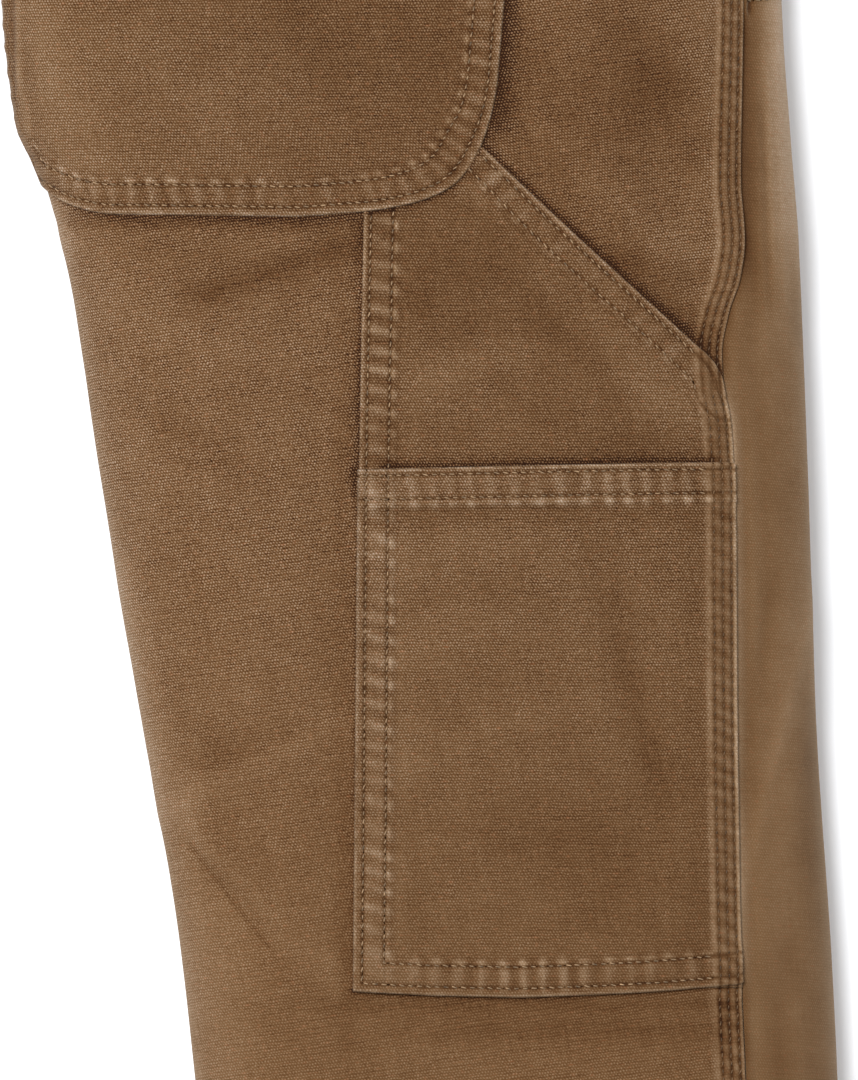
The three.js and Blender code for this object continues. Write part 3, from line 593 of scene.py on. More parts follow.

# %% [markdown]
# Camera, surface and light
#
# The camera comes first. The photo looks straight down, so the camera hangs far above the leg with a
# long lens and sees 343 by 432 mm. The surface is plain white, the main light is large and comes from
# the upper left, and the white surroundings fill in.

# %% Stage
CAMERA_HEIGHT = 10.0
SENSOR = 36
TOP_OF_PILE = 0.058
frame_long = PHOTO_PX[1] * PX * MM
centre_x = PHOTO_PX[0] / 2 * PX - MIDDLE_X
centre_down = (PHOTO_TOP + PHOTO_BOTTOM) / 2
camera = bpy.data.objects.new("camera", bpy.data.cameras.new("camera"))
bpy.context.collection.objects.link(camera)
camera.data.sensor_width = SENSOR
camera.data.lens = SENSOR * (CAMERA_HEIGHT - TOP_OF_PILE) / frame_long
camera.data.clip_end = 30
camera.location = (centre_x * MM, (LENGTH / 2 - centre_down) * MM, CAMERA_HEIGHT)
bpy.context.scene.camera = camera


def area_light(name, place, target, size, power, colour=(1, 1, 1)):
    light = bpy.data.lights.new(name, "AREA")
    light.shape = "DISK"
    light.size = size
    light.energy = power
    light.color = colour
    made = bpy.data.objects.new(name, light)
    made.location = place
    made.rotation_euler = (Vector(target) - Vector(place)).to_track_quat("-Z", "Y").to_euler()
    bpy.context.collection.objects.link(made)


LEG = (0.0, 0.15, 0.05)
area_light("key_light", (-0.55, 0.85, 2.7), LEG, 1.0, 80)
area_light("side_light", (-1.9, 0.2, 1.2), LEG, 1.2, 8)

world = bpy.data.worlds.new("surroundings")
bpy.context.scene.world = world
world.use_nodes = True
world.node_tree.nodes["Background"].inputs["Color"].default_value = (1, 1, 1, 1)
world.node_tree.nodes["Background"].inputs["Strength"].default_value = 0.5

bpy.ops.mesh.primitive_plane_add(size=6, location=(0, 0, 0))
floor = bpy.context.object
floor.name = "surface"
bpy.context.scene.view_settings.view_transform = "Standard"
print("camera lens:", round(camera.data.lens, 1))


# %% [markdown]
# Outlines and their distance
#
# A patch pocket's look comes from its edge: the cloth is turned under, pressed and sewn twice, so the
# height at a point depends on how far it is from the edge. An outline is a short list of points with
# curved corners, and the distance to it is worked out for all of a piece's points at once.

# %% Outlines
def resample(line, shares):
    """Points at shares of a line's length."""
    line = np.asarray(line, float)
    run = np.concatenate([[0], np.cumsum(np.hypot(*np.diff(line, axis=0).T))])
    at = np.asarray(shares) * run[-1]
    return np.stack([np.interp(at, run, line[:, 0]), np.interp(at, run, line[:, 1])], -1)


def line_length(line):
    return float(np.hypot(*np.diff(np.asarray(line, float), axis=0).T).sum())


def curve(start, bend, end, steps=9):
    """A curved corner: a parabola that leaves start towards bend and arrives at end from it."""
    t = np.linspace(0, 1, steps)[:, None]
    start, bend, end = (np.array(p, float) for p in (start, bend, end))
    return (1 - t) ** 2 * start + 2 * t * (1 - t) * bend + t**2 * end


def signed_distance(line, s, down):
    """The distance to a line, positive on its right-hand side when going along it with down pointing
    down, and the running length of the nearest place."""
    p = np.stack([s.ravel(), down.ravel()], 1)
    best = np.full(len(p), 1e9)
    where = np.zeros(len(p))
    sign = np.ones(len(p))
    run = 0.0
    for a, b in zip(line[:-1], line[1:]):
        d = b - a
        length = math.hypot(*d)
        t = np.clip(((p - a) @ d) / length**2, 0, 1)
        gap = np.hypot(*(p - a - t[:, None] * d).T)
        near = gap < best
        side = np.sign(d[0] * (p[:, 1] - a[1]) - d[1] * (p[:, 0] - a[0]))
        best = np.where(near, gap, best)
        sign = np.where(near, side, sign)
        where = np.where(near, run + t * length, where)
        run += length
    return (best * sign).reshape(s.shape), where.reshape(s.shape)


PUCKER_PITCH = 8.6
FOLD_REACH = 0.8


def puckers(along, dist, seed, length=PUCKER_PITCH):
    """The waves that sewing draws up across a band: about one each 8.6 mm, but drifting, leaning and
    stronger in some places than in others."""
    drift = 2.2 * soft_noise(along, dist, 24, 60, seed) + 0.5 * soft_noise(along, dist, 9, 7, seed + 3)
    strong = np.clip(0.62 + 0.5 * soft_noise(along, dist, 37, 80, seed + 4), 0.15, 1)
    wave = np.sin(2 * math.pi * along / length + drift + 0.05 * dist)
    return strong * wave + 0.28 * soft_noise(along, dist, 2.4, 5, seed + 1)


def edge_profile(dist, along, edge):
    """A sewn edge's round fold, what it adds to the height, its wear and its painted shade: the
    turned-under allowance with a soft step behind it, a groove along each row, and puckers between the
    rows. Shade is painted in the grooves, behind the step and in the puckers' troughs."""
    rows, allowance, seed = edge["rows"], edge["allowance"], edge["seed"]
    fold = round_edge(dist, FOLD_REACH)
    band = plateau(dist, FOLD_REACH, 3.5, allowance - 2, allowance + 4)
    waves = puckers(along, dist, seed)
    extra = edge["turned"] * (1 - step(dist, allowance - 0.6, allowance + 1.6))
    extra = extra + edge["pucker"] * band * waves
    grooves = sum(bell(dist - row, 0.72) for row in rows)
    lumps = np.clip(0.8 + 0.5 * soft_noise(along, dist, 2.6, 5, seed + 2)
                    + 0.4 * soft_noise(along, dist, 15, 30, seed + 5), 0.1, 1.5)
    rub = 0.62 * bell(dist - 0.5, edge["lip"]) * lumps
    ridge = edge["pale"] * band * (np.clip(1.5 * waves - 0.1, 0, 1.2) * lumps + edge["even"])
    line = 0.6 * bell(dist - allowance, 1.0) * np.clip(0.35 + waves, 0, 1) * lumps
    # Painted shade in the grooves, behind the allowance's step and in the troughs of the puckers.
    painted_shade = 1.4 * grooves + 0.45 * bell(dist - allowance - 1.6, 1.2) * (1.6 - lumps)
    painted_shade = painted_shade + 1.5 * edge["pale"] * band * np.clip(-waves, 0, 1)
    wear_and_sheen = np.clip(rub + ridge + line, 0, 1)
    return fold, extra - 0.5 * grooves, wear_and_sheen, np.clip(painted_shade, 0, 1.3)


BACK_CORNER = curve((199.0, 212), (194.9, 240.2), (182.2, 251.8))
BACK_BOTTOM = curve((182.2, 251.8), (171.2, 260.3), (145, 262.9))
BACK_LEFT = curve((44, 263.7), (26, 261.7), (16, 249))
back_outline = np.concatenate([
    [(202.9, 93.0), (201.8, 178)], BACK_CORNER, BACK_BOTTOM[1:], [(120, 264.8)], BACK_LEFT,
    curve((16, 249), (6, 236), (-3, 214))[1:],
])
SLANT_START = photo(486, 151)
SLANT_MIDDLE = photo(567, 227)
SLANT_END = (282.9, 320.1)
slant_line = np.concatenate([
    [SLANT_START, SLANT_MIDDLE], curve(SLANT_END, (290.5, 328.5), (292.6, 341), 7),
])


def photo_line(*pixels):
    return np.array([photo(*pixel) for pixel in pixels])


tool_left = photo_line((366.5, 205), (366.5, 219), (361, 356), (359, 470), (357, 960))
utility_top = photo_line((357.5, 469.5), (500, 466), (650, 463), (742, 462))
utility_left = photo_line((357.5, 469.5), (355.5, 700), (352.8, 991.5))
utility_bottom = photo_line((352.8, 991.5), (430, 995.5), (520, 997.5), (600, 994.5), (657, 991.5),
                            (746, 984))
print("outline points:", len(back_outline), len(slant_line), len(utility_bottom))

# %% [markdown]
# The canvas
#
# Duck canvas is a plain weave of thick, slightly uneven yarns. Seen from a step away it is rows of
# small pale dots, which ripples along two diagonals and along the rows make up together, all bent a
# little by noise. Over it lie the mottling of a garment wash, single darker and paler yarns, paler
# cloth where folds are rubbed, and painted sheen and painted shade. Beside a pocket's edge a dark line
# of shadow is painted on the cloth.

# %% Materials
WARP_PITCH = 0.61 * MM
WEFT_PITCH = 1.11 * MM


class Tree:
    """A short way to write nodes: a call makes one, sets its options and fills or links its inputs."""

    def __init__(self, name):
        self.material = bpy.data.materials.new(name)
        self.material.use_nodes = True
        self.tree = self.material.node_tree
        self.tree.nodes.clear()

    def __call__(self, kind, inputs=(), **options):
        made = self.tree.nodes.new("ShaderNode" + kind)
        for key, value in options.items():
            setattr(made, key, value)
        for key, value in dict(inputs).items():
            if isinstance(value, bpy.types.NodeSocket):
                self.tree.links.new(value, made.inputs[key])
            else:
                made.inputs[key].default_value = value
        return made

    def math(self, operation, a, b=0.0, c=0.0):
        return self("Math", {0: a, 1: b, 2: c}, operation=operation).outputs[0]

    def chain(self, operation, values):
        total = values[0]
        for value in values[1:]:
            total = self.math(operation, total, value)
        return total

    def add(self, *values):
        return self.chain("ADD", values)

    def times(self, *values):
        return self.chain("MULTIPLY", values)

    def ramp(self, value, start, end, first, last):
        """From first to last while the value goes from start to end."""
        ends = {"From Min": start, "From Max": end, "To Min": first, "To Max": last}
        return self("MapRange", {"Value": value, **ends}).outputs["Result"]

    def surface(self, shader):
        """Makes this shader the material's surface."""
        self("OutputMaterial", {"Surface": shader.outputs[0]})
        return self.material

    def noise(self, vector, scale, detail=2.0, roughness=0.5):
        """Noise from about -1 to 1."""
        made = self("TexNoise", {
            "Vector": vector, "Scale": scale, "Detail": detail, "Roughness": roughness,
        })
        return self.math("MULTIPLY_ADD", made.outputs["Fac"], 2.0, -1.0)

    def stretched(self, vector, x, y, z=1.0):
        return self("VectorMath", {0: vector, 1: (x, y, z)}, operation="MULTIPLY").outputs[0]

    def bell(self, distance, reach, height):
        ratio = self.math("DIVIDE", distance, reach)
        return self.times(self.math("EXPONENT", self.times(ratio, ratio, -1.0)), height)

    def distance(self, line):
        """The distance to a line of x and down: the least of those to its straight stretches."""
        place = self.stretched(self("TexCoord").outputs["Object"], 1, 1, 0)
        nearest = 1.0
        for a, b in zip(line[:-1], line[1:]):
            start = Vector(((a[0] - MIDDLE_X) * MM, (LENGTH / 2 - a[1]) * MM, 0))
            way = Vector(((b[0] - a[0]) * MM, (a[1] - b[1]) * MM, 0))
            from_start = self("VectorMath", {0: place, 1: start}, operation="SUBTRACT").outputs[0]
            dot = self("VectorMath", {0: from_start, 1: way / way.length_squared}, operation="DOT_PRODUCT")
            share = self("Clamp", {"Value": dot.outputs["Value"]}).outputs[0]
            foot = self("VectorMath", {0: way, "Scale": share}, operation="SCALE").outputs[0]
            far = self("VectorMath", {0: from_start, 1: foot}, operation="DISTANCE").outputs["Value"]
            nearest = self.math("MINIMUM", nearest, far)
        return nearest

    def beside(self, line, bells):
        """Shade beside a line: bells of the distance, each with a reach in millimetres and a strength."""
        far = self.distance(line)
        return self.add(*[self.bell(far, reach * MM, strength) for reach, strength in bells])


# A darker place in brown cloth is also a richer brown, and a paler one is greyer, so the brightness,
# with the shade and highlight painted in it, counts a little less for red and more for green and blue.
RICHNESS = (0.86, 1.15, 1.60)
FELL_LINE = [(x - FELL_WIDTH / 2, down) for x, down in zip(SEAM["x"], SEAM["down"])]


def cloth_place(t, mapped):
    """The place in the cut cloth. A piece with no map takes it from x, and from y and z together."""
    if mapped:
        return t("UVMap", uv_map="cloth").outputs["UV"]
    place = t("SeparateXYZ", {"Vector": t("TexCoord").outputs["Object"]})
    along = t.add(place.outputs["Y"], place.outputs["Z"])
    return t("CombineXYZ", {"X": place.outputs["X"], "Y": along}).outputs["Vector"]


def weave_waves(t, uv):
    """The ripples of the weave: the sum of cosines along two diagonals and along the rows."""
    jitter = t.times(t.noise(uv, 1500, 0), 0.45)
    wobble = t.times(t.noise(uv, 420, 1), 0.5)
    split = t("SeparateXYZ", {"Vector": uv})
    across = t.add(t.math("DIVIDE", split.outputs["X"], WARP_PITCH), jitter, t.noise(uv, 110, 2))
    along = t.add(t.math("DIVIDE", split.outputs["Y"], WEFT_PITCH), wobble, t.times(jitter, -0.5))

    def ripple(phase, amount):
        return t.times(t.math("COSINE", t.times(phase, math.pi)), amount)

    falling = ripple(t.math("SUBTRACT", along, across), 0.71)
    rising = ripple(t.add(along, across), 0.23)
    return t.add(falling, rising, ripple(t.times(along, 2.0), 0.66))


def weave_strength(t, uv, weave, wear_and_sheen, shade, felled):
    """How clearly the weave shows: less down the leg, on worn cloth, on painted sheen and painted shade,
    and on the felled band."""
    strength = t.math("MULTIPLY_ADD", t.noise(uv, 130, 2), 0.45 * weave, weave)
    up_the_leg = t("SeparateXYZ", {"Vector": t("TexCoord").outputs["Object"]}).outputs["Y"]
    hidden = t.math("MULTIPLY_ADD", t.math("MAXIMUM", shade, 0.0), 0.45, t.times(wear_and_sheen, 0.35))
    strength = t.times(strength, t.ramp(up_the_leg, 0.15, -0.05, 1.0, 0.42))
    strength = t.times(strength, t.math("SUBTRACT", 1.0, hidden))
    if felled:
        strength = t.times(strength, t.ramp(t.distance(FELL_LINE), 4.5 * MM, 7.5 * MM, 0.3, 1.0))
    return strength


PALE = (0.322, 0.220, 0.136)
RUST = (0.20, 0.072, 0.028)
MOTTLE = 0.15


def canvas(name, colour, weave=0.60, nap=0.10, mapped=True, lines=(), felled=True):
    """The woven cloth. Its brightness is one, plus the weave, plus noises of several sizes, less the
    painted shade, and it multiplies the colour, which is paler where the cloth is worn and where sheen is
    painted. Shadow is painted beside the lines."""
    t = Tree(name)
    uv = cloth_place(t, mapped)
    waves = weave_waves(t, uv)
    dots = t.math("MULTIPLY_ADD", t.times(waves, waves), 0.32, t.add(waves, -0.16))
    wear_and_sheen = t("Attribute", attribute_name="wear_and_sheen").outputs["Fac"]
    shade = t("Attribute", attribute_name="shade").outputs["Fac"]
    strength = weave_strength(t, uv, weave, wear_and_sheen, shade, felled)
    speck = t.noise(t.stretched(uv, 0.8 / WARP_PITCH, 1 / WEFT_PITCH), 1.0, 0)
    weft_yarn = t.noise(t.stretched(uv, 55, 1 / WEFT_PITCH), 1.0, 1)
    warp_yarn = t.noise(t.stretched(uv, 1 / WARP_PITCH, 45), 1.0, 1)
    fleck = t.noise(t.stretched(uv, 300, 1 / WEFT_PITCH), 1.3, 0)
    patch = t.noise(uv, 17, 3, 0.55)
    blotch = t.noise(uv, 75, 2, 0.5)
    bright = t.add(
        1.0,
        t.times(dots, strength),
        t.times(weft_yarn, 0.04 + 0.3 * weave),
        t.times(warp_yarn, 0.06 + 0.27 * weave),
        t.times(fleck, 0.03 + 0.2 * weave),
        t.times(speck, strength, 0.65),
        t.times(patch, MOTTLE),
        t.times(blotch, 0.9 * MOTTLE),
        t.times(shade, -0.42),
    )
    if lines:
        # Painted shadow beside the lines, uneven with the blotches.
        dark = t.add(*[t.beside(line, bells) for line, bells in lines])
        uneven = t.add(1.0, t.times(blotch, 0.5))
        bright = t.math("SUBTRACT", bright, t.times(dark, uneven))
    bright = t.math("MAXIMUM", bright, 0.12)
    # Paler where the cloth is worn and where sheen is painted.
    worn_and_sheen = t.times(wear_and_sheen, t.math("MULTIPLY_ADD", t.noise(uv, 420, 3, 0.6), 0.6, 0.75))
    worn_and_sheen = t.math("MULTIPLY_ADD", t.math("MAXIMUM", waves, 0.0), 0.10, worn_and_sheen)
    colours = {"A": (*colour, 1), "B": (*PALE, 1)}
    base = t("Mix", {"Factor": worn_and_sheen, **colours}, data_type="RGBA", clamp_factor=True)
    rust = t.times(t.math("MAXIMUM", t.add(fleck, -0.25), 0.0), 0.8)
    tinted = t("Mix", {"Factor": rust, "A": base.outputs["Result"], "B": (*RUST, 1)}, data_type="RGBA")
    rich = t("CombineXYZ", {
        axis: t.math("POWER", bright, power) for axis, power in zip("XYZ", RICHNESS)
    })
    lit = t("VectorMath", {0: tinted.outputs["Result"], 1: rich.outputs[0]}, operation="MULTIPLY")
    height = t.add(
        t.times(dots, 0.5),
        t.times(weft_yarn, 0.35),
        t.times(warp_yarn, 0.25),
        t.times(blotch, 0.6),
    )
    bump = t("Bump", {"Strength": 0.5, "Distance": 0.00012, "Height": height})
    return t.surface(t("BsdfPrincipled", {
        "Base Color": lit.outputs[0],
        "Roughness": 0.92,
        "Specular IOR Level": 0.15,
        "Sheen Weight": nap,
        "Sheen Roughness": 0.45,
        "Sheen Tint": (0.86, 0.72, 0.52, 1),
        "Normal": bump.outputs[0],
    }))


def thread_material(name, colour, gloss=0.35):
    """Twisted sewing thread: a fine slanting ripple along each stitch, and yarns of uneven colour."""
    t = Tree(name)
    place = t("TexCoord").outputs["Object"]
    wave = t("TexWave", {"Vector": place, "Scale": 1400.0, "Distortion": 1.5}, wave_type="BANDS")
    twist = wave.outputs["Fac"]
    bright = t.add(1.0, t.times(t.noise(place, 480, 1), 1.5), t.times(twist, 0.18))
    lit = t("VectorMath", {0: colour, "Scale": bright}, operation="SCALE")
    bump = t("Bump", {"Strength": 0.4, "Distance": 0.00006, "Height": twist})
    return t.surface(t("BsdfPrincipled", {
        "Base Color": lit.outputs[0],
        "Roughness": 0.6,
        "Specular IOR Level": gloss,
        "Normal": bump.outputs[0],
    }))


def floor_material():
    """A plain white surface, partly lit from itself so that its shadows stay pale."""
    t = Tree("white_surface")
    matt = t("BsdfDiffuse", {"Color": (0.93, 0.95, 0.98, 1)})
    glow = t("Emission", {"Color": (1, 1, 1, 1), "Strength": 0.165})
    return t.surface(t("AddShader", {0: matt.outputs[0], 1: glow.outputs[0]}))


# Each line is followed by the bells of the shadow painted beside it: how far each reaches, in
# millimetres, and how dark it is.
BACK_LINE = resample(back_outline, np.linspace(0, 1, 26))
LEG_PAINTED_SHADOWS = (
    (BACK_LINE, ((1.5, 0.40), (5.0, 0.28))),
    (photo_line((506, -40), (503, 70), (500, 120)), ((8.0, 0.46),)),
    (slant_line[:-3], ((2.0, 0.62), (5.5, 0.18))),
    (photo_line((640, 290), (700, 340)), ((2.2, 0.25),)),
    (tool_left[1:4], ((1.3, 0.36), (5.0, 0.34))),
    (utility_left, ((1.2, 0.20), (3.5, 0.12))),
    (utility_bottom, ((1.2, 0.36), (3.0, 0.10))),
    (photo_line((353, 468), (354, 496)), ((1.0, 0.40),)),
    (photo_line((191, 846), (228, 896), (268, 946)), ((1.0, 0.20),)),
)
MOUTH = photo_line((385, 468.5), (500, 465.5), (650, 462.5), (712, 462))
TOOL_PAINTED_SHADOWS = (
    (BACK_LINE[8:16], ((1.5, 0.40), (4.0, 0.20))),
    (MOUTH, ((1.7, 0.42), (5.5, 0.34))),
)
LEG_CLOTH = (canvas("leg_canvas", (0.1285, 0.0638, 0.0247), lines=LEG_PAINTED_SHADOWS), "leg_canvas")
FRONT_CLOTH = (canvas("front_canvas", (0.1465, 0.0760, 0.0308), weave=0.11, nap=0.3, felled=False),
               "front_canvas")
POCKET_COLOUR = (0.1160, 0.0572, 0.0216)
POCKET_CLOTH = (canvas("pocket_canvas", POCKET_COLOUR, weave=0.54), "pocket_canvas")
TOOL_CLOTH = (canvas("tool_pocket_canvas", POCKET_COLOUR, weave=0.50, lines=TOOL_PAINTED_SHADOWS), "pocket_canvas")
hidden_canvas = canvas("hidden_canvas", (0.118, 0.059, 0.023), mapped=False, felled=False)
thread = thread_material("thread", (0.215, 0.138, 0.075))
dark_thread = thread_material("dark_thread", (0.110, 0.060, 0.026))
# The needle holes are small dark ovals that paint the shade in the holes.
fell_hole_shade = thread_material("felled_needle_hole", (0.055, 0.026, 0.010), 0.0)
needle_hole_shade = thread_material("needle_hole_shade", (0.022, 0.010, 0.004), 0.0)
floor.data.materials.append(floor_material())
print("materials:", [m.name for m in bpy.data.materials])

# %% [markdown]
# The felled outseam
#
# The back laps over the front along the outseam: its edge is folded under and three rows of stitches
# hold it down. That gives a raised band about 10 mm wide with a round ridge at its right edge. The band
# draws up a little between the stitches, so it is ribbed across.

# %% Felled band
FELL_ROWS = (2.2, 5.7, 9.3)
FELL_PAINTED_SHADE = (1.9, 1.4, 1.35)
RIB_PITCH = 6.8
BESIDE_POCKETS = (326, 348, 560, 580)


def felled_band(from_seam, down):
    """The band's height, wear and shade at a distance to the left of its ridge. Beside the pockets, low
    is 1: the ridge is rubbed more there, and the rows are less dark."""
    dist = np.maximum(-from_seam, 0)
    height = round_edge(dist, 0.9) * (1 - step(dist, FELL_WIDTH - 0.8, FELL_WIDTH + 2.2))
    for row in FELL_ROWS:
        height = height - 0.6 * bell(dist - row, 0.7)
    band = plateau(dist, 0.5, 1.5, 8.5, 13)
    waves = puckers(down + 0.35 * dist, dist, 31, RIB_PITCH)
    low = plateau(down, *BESIDE_POCKETS)
    rub = (0.5 + 0.6 * low) * bell(dist - 0.9, 0.9 + 0.3 * low)
    behind = 0.42 * bell(dist - FELL_WIDTH - 1.1, 1.0)
    wear_and_sheen = rub * (0.8 + 0.4 * soft_noise(down, dist, 9, 9, 33))
    wear_and_sheen = wear_and_sheen + 0.26 * band * (0.6 + np.clip(waves, -0.4, 1))
    wear_and_sheen = wear_and_sheen + behind * (0.8 + 0.5 * soft_noise(down, dist, 11, 9, 34))
    # Painted shade in the ribs' troughs and in the groove of each row, less beside the pockets.
    shade = 0.35 * band * np.clip(-waves, 0, 1)
    for row, dark in zip(FELL_ROWS, FELL_PAINTED_SHADE):
        shade = shade + (dark - 0.45 * low) * bell(dist - row, 0.75)
    return height + 0.22 * band * waves, np.clip(wear_and_sheen, 0, 1), np.clip(shade, 0, 1.6)


def piece_rows(*marks):
    """Rows from mark to mark. Each mark is a place and the step of the stretch that ends there, which
    is fine inside the photo and coarser outside it."""
    rows = [np.array([marks[0][0]], float)]
    for (low, _), (high, size) in zip(marks[:-1], marks[1:]):
        count = max(1, int(round((high - low) / size)))
        rows.append(np.linspace(low, high, count + 1)[1:])
    return np.concatenate(rows)


def share_columns(length, coarse, left_fine, right_fine):
    """Shares from 0 to 1 of a width, with steps of coarse and finer ones near either end, where each of
    left_fine and right_fine is a list of distances from that end."""
    left = np.array(left_fine, float)
    right = length - np.array(right_fine, float)[::-1]
    count = max(2, int(round((right[0] - left[-1]) / coarse)))
    middle = np.linspace(left[-1], right[0], count + 1)[1:-1]
    return np.concatenate([left, middle, right]) / length


# %% [markdown]
# The right back panel
#
# The largest piece: from the yoke's seam to the hem, and from the fold at the left edge to the outseam's
# ridge. Its grain follows the leg, which leans by 7.5 degrees here, and its face rises into the
# felled band at the right and the turned hem at the bottom.

# %% Right back
GRAIN = 7.5
EDGE_STEPS = (0, 0.25, 0.6, 1.0, 1.6, 2.2, 2.8, 3.6, 4.4, 5.1, 5.7, 6.3, 7.0, 7.9, 8.7, 9.3, 9.9, 10.6,
              11.4, 12.4, 13.6, 15.2)


def yoke_seam(from_seam):
    """The level of the yoke's lower edge, which slopes down to the centre back."""
    return mix(YOKE_AT_SIDE, YOKE_AT_CENTRE, np.clip(-from_seam / 300, 0, 1))


HEM_STITCHES = 11.2


def hem_profile(down):
    """The height, wear and shade of the leg hem: turned up twice, with one row of stitches."""
    dist = LENGTH - down
    height = 0.8 * (1 - step(dist, HEM_DEPTH - 0.6, HEM_DEPTH + 1.2)) - 0.3 * bell(dist - HEM_STITCHES, 0.8)
    # Painted shade in the row's groove and behind the hem's turned edge.
    shade = 0.4 * bell(dist - HEM_STITCHES, 0.9) + 0.3 * bell(dist - HEM_DEPTH - 1, 1.2)
    return height, 0.5 * bell(dist - 0.5, 1.0), shade


def back_surface(down, s):
    """The height, wear and shade of the back panel's face: the relief, the band and the hem, with sheen
    painted along the pile's left edge and the strokes' painted shade and highlight.
    """
    x = upper.at(down, s)[0]
    band, wear_and_sheen, shade = felled_band(s - seam_at(down), down)
    hem, hem_wear, hem_shade = hem_profile(down)
    # The strokes press the cloth and paint shade and highlight on it.
    soft = tone("leg", x, down)
    height = relief(x, down) * step(s, 4, 40) + np.maximum(band, hem) - STROKE_DEPTH * soft
    # Painted sheen: the cloth is paler towards the rounded left edge of the pile.
    from_left = np.maximum(x - smooth(SECTIONS, "left", down), 0)
    pale = 0.34 * bell(from_left, 4) + 0.12 * bell(from_left, 14)
    return height, np.clip(wear_and_sheen + hem_wear + pale, 0, 1), np.clip(shade + hem_shade, 0, 1.6) + soft


def panel_grid(rows, shares):
    """Grids of down and s, with the columns in shares of the width from the left groove to the ridge."""
    seam = seam_at(rows)[:, None]
    return np.repeat(rows[:, None], len(shares), 1), shares[None, :] * seam


def hang_down(down, first, top, bottom):
    """Moves each column's rows so that they start at its own first row and still end at the bottom."""
    return first + (down - top) * (bottom - first) / (bottom - top)


rows = piece_rows((YOKE_AT_SIDE, 0), (172, 4.5), (622, 2.15), (1065, 4.8), (LENGTH, 1.6))
down, s = panel_grid(rows, share_columns(310, 2.7, (0, 2), EDGE_STEPS))
down = hang_down(down, yoke_seam(s - seam_at(down)) + SEAM_GAP / 2, YOKE_AT_SIDE, LENGTH)
cloth("right_back", upper, down, s, back_surface(down, s), -WALL, GRAIN, LEG_CLOTH, (0.33, 1.01))

# %% [markdown]
# Yoke, front, facing and waistband
#
# The yoke sits between the back and the waistband, and its seam slopes down to the centre back. The
# front shows as a strip beside the outseam and goes round the right edge into the groove. At its top it
# is cut to the scoop of the front pocket's mouth, and the facing behind that mouth fills the gap. The
# waistband goes over the top, round the fold at the centre back, and back along the surface.

# %% Yoke, front, facing, waistband
YOKE_ROWS = (2, 8)
SCOOP_ROWS = (2.2, 8.5)
BAND_ROW = 2.4
FRONT_GRAIN = -4.0
FRONT_BESIDE_POCKETS = (322, 345, 560, 580)


def seam_rows(dist, first, second):
    """The height, wear and shade of a lapped seam at a distance from its edge, with two rows."""
    height = 0.8 * (1 - step(dist, second + 0.6, second + 2.4)) * np.sqrt(np.clip(dist / 0.8, 0, 1))
    # Painted shade in the groove of each row.
    shade = 0
    for row in (first, second):
        groove = bell(dist - row, 0.75)
        height = height - 0.3 * groove
        shade = shade + 0.45 * groove
    return height, 0.5 * bell(dist - 0.8, 0.8), shade


def yoke_surface(down, s):
    """The height, wear and shade of the yoke's face, which laps over the back with two rows."""
    from_seam = s - seam_at(down)
    band, wear_and_sheen, shade = felled_band(from_seam, down)
    lap, lap_wear, lap_shade = seam_rows(yoke_seam(from_seam) - down, *YOKE_ROWS)
    height = relief(upper.at(down, s)[0], down) * step(s, 4, 40) + np.maximum(band, lap)
    return height, np.clip(wear_and_sheen + lap_wear, 0, 1), np.clip(shade + lap_shade, 0, 1)


def cut_below(down, top, last, bottom):
    """Moves each column's rows so that they start at the top and end at its own last row."""
    return top + (down - top) * (last - top) / (bottom - top)


BAND_EDGE = BAND_DEPTH + SEAM_GAP
rows = piece_rows((BAND_EDGE, 0), (66, 2), (YOKE_AT_SIDE, 0.9))
down, s = panel_grid(rows, share_columns(270, 3.2, (0, 2), EDGE_STEPS))
down = cut_below(down, BAND_EDGE, yoke_seam(s - seam_at(down)) - SEAM_GAP / 2, YOKE_AT_SIDE)
cloth("right_yoke", upper, down, s, yoke_surface(down, s), -WALL, GRAIN, LEG_CLOTH, (0.32, 0.052))


def scoop_mouth(from_seam):
    """The mouth's edge: a quarter of an ellipse that is level where it ends at the outseam."""
    share = np.clip(from_seam / SCOOP_WIDTH, 0, 1)
    return BAND_DEPTH + (SCOOP_END - BAND_DEPTH) * np.sqrt(1 - share**2)


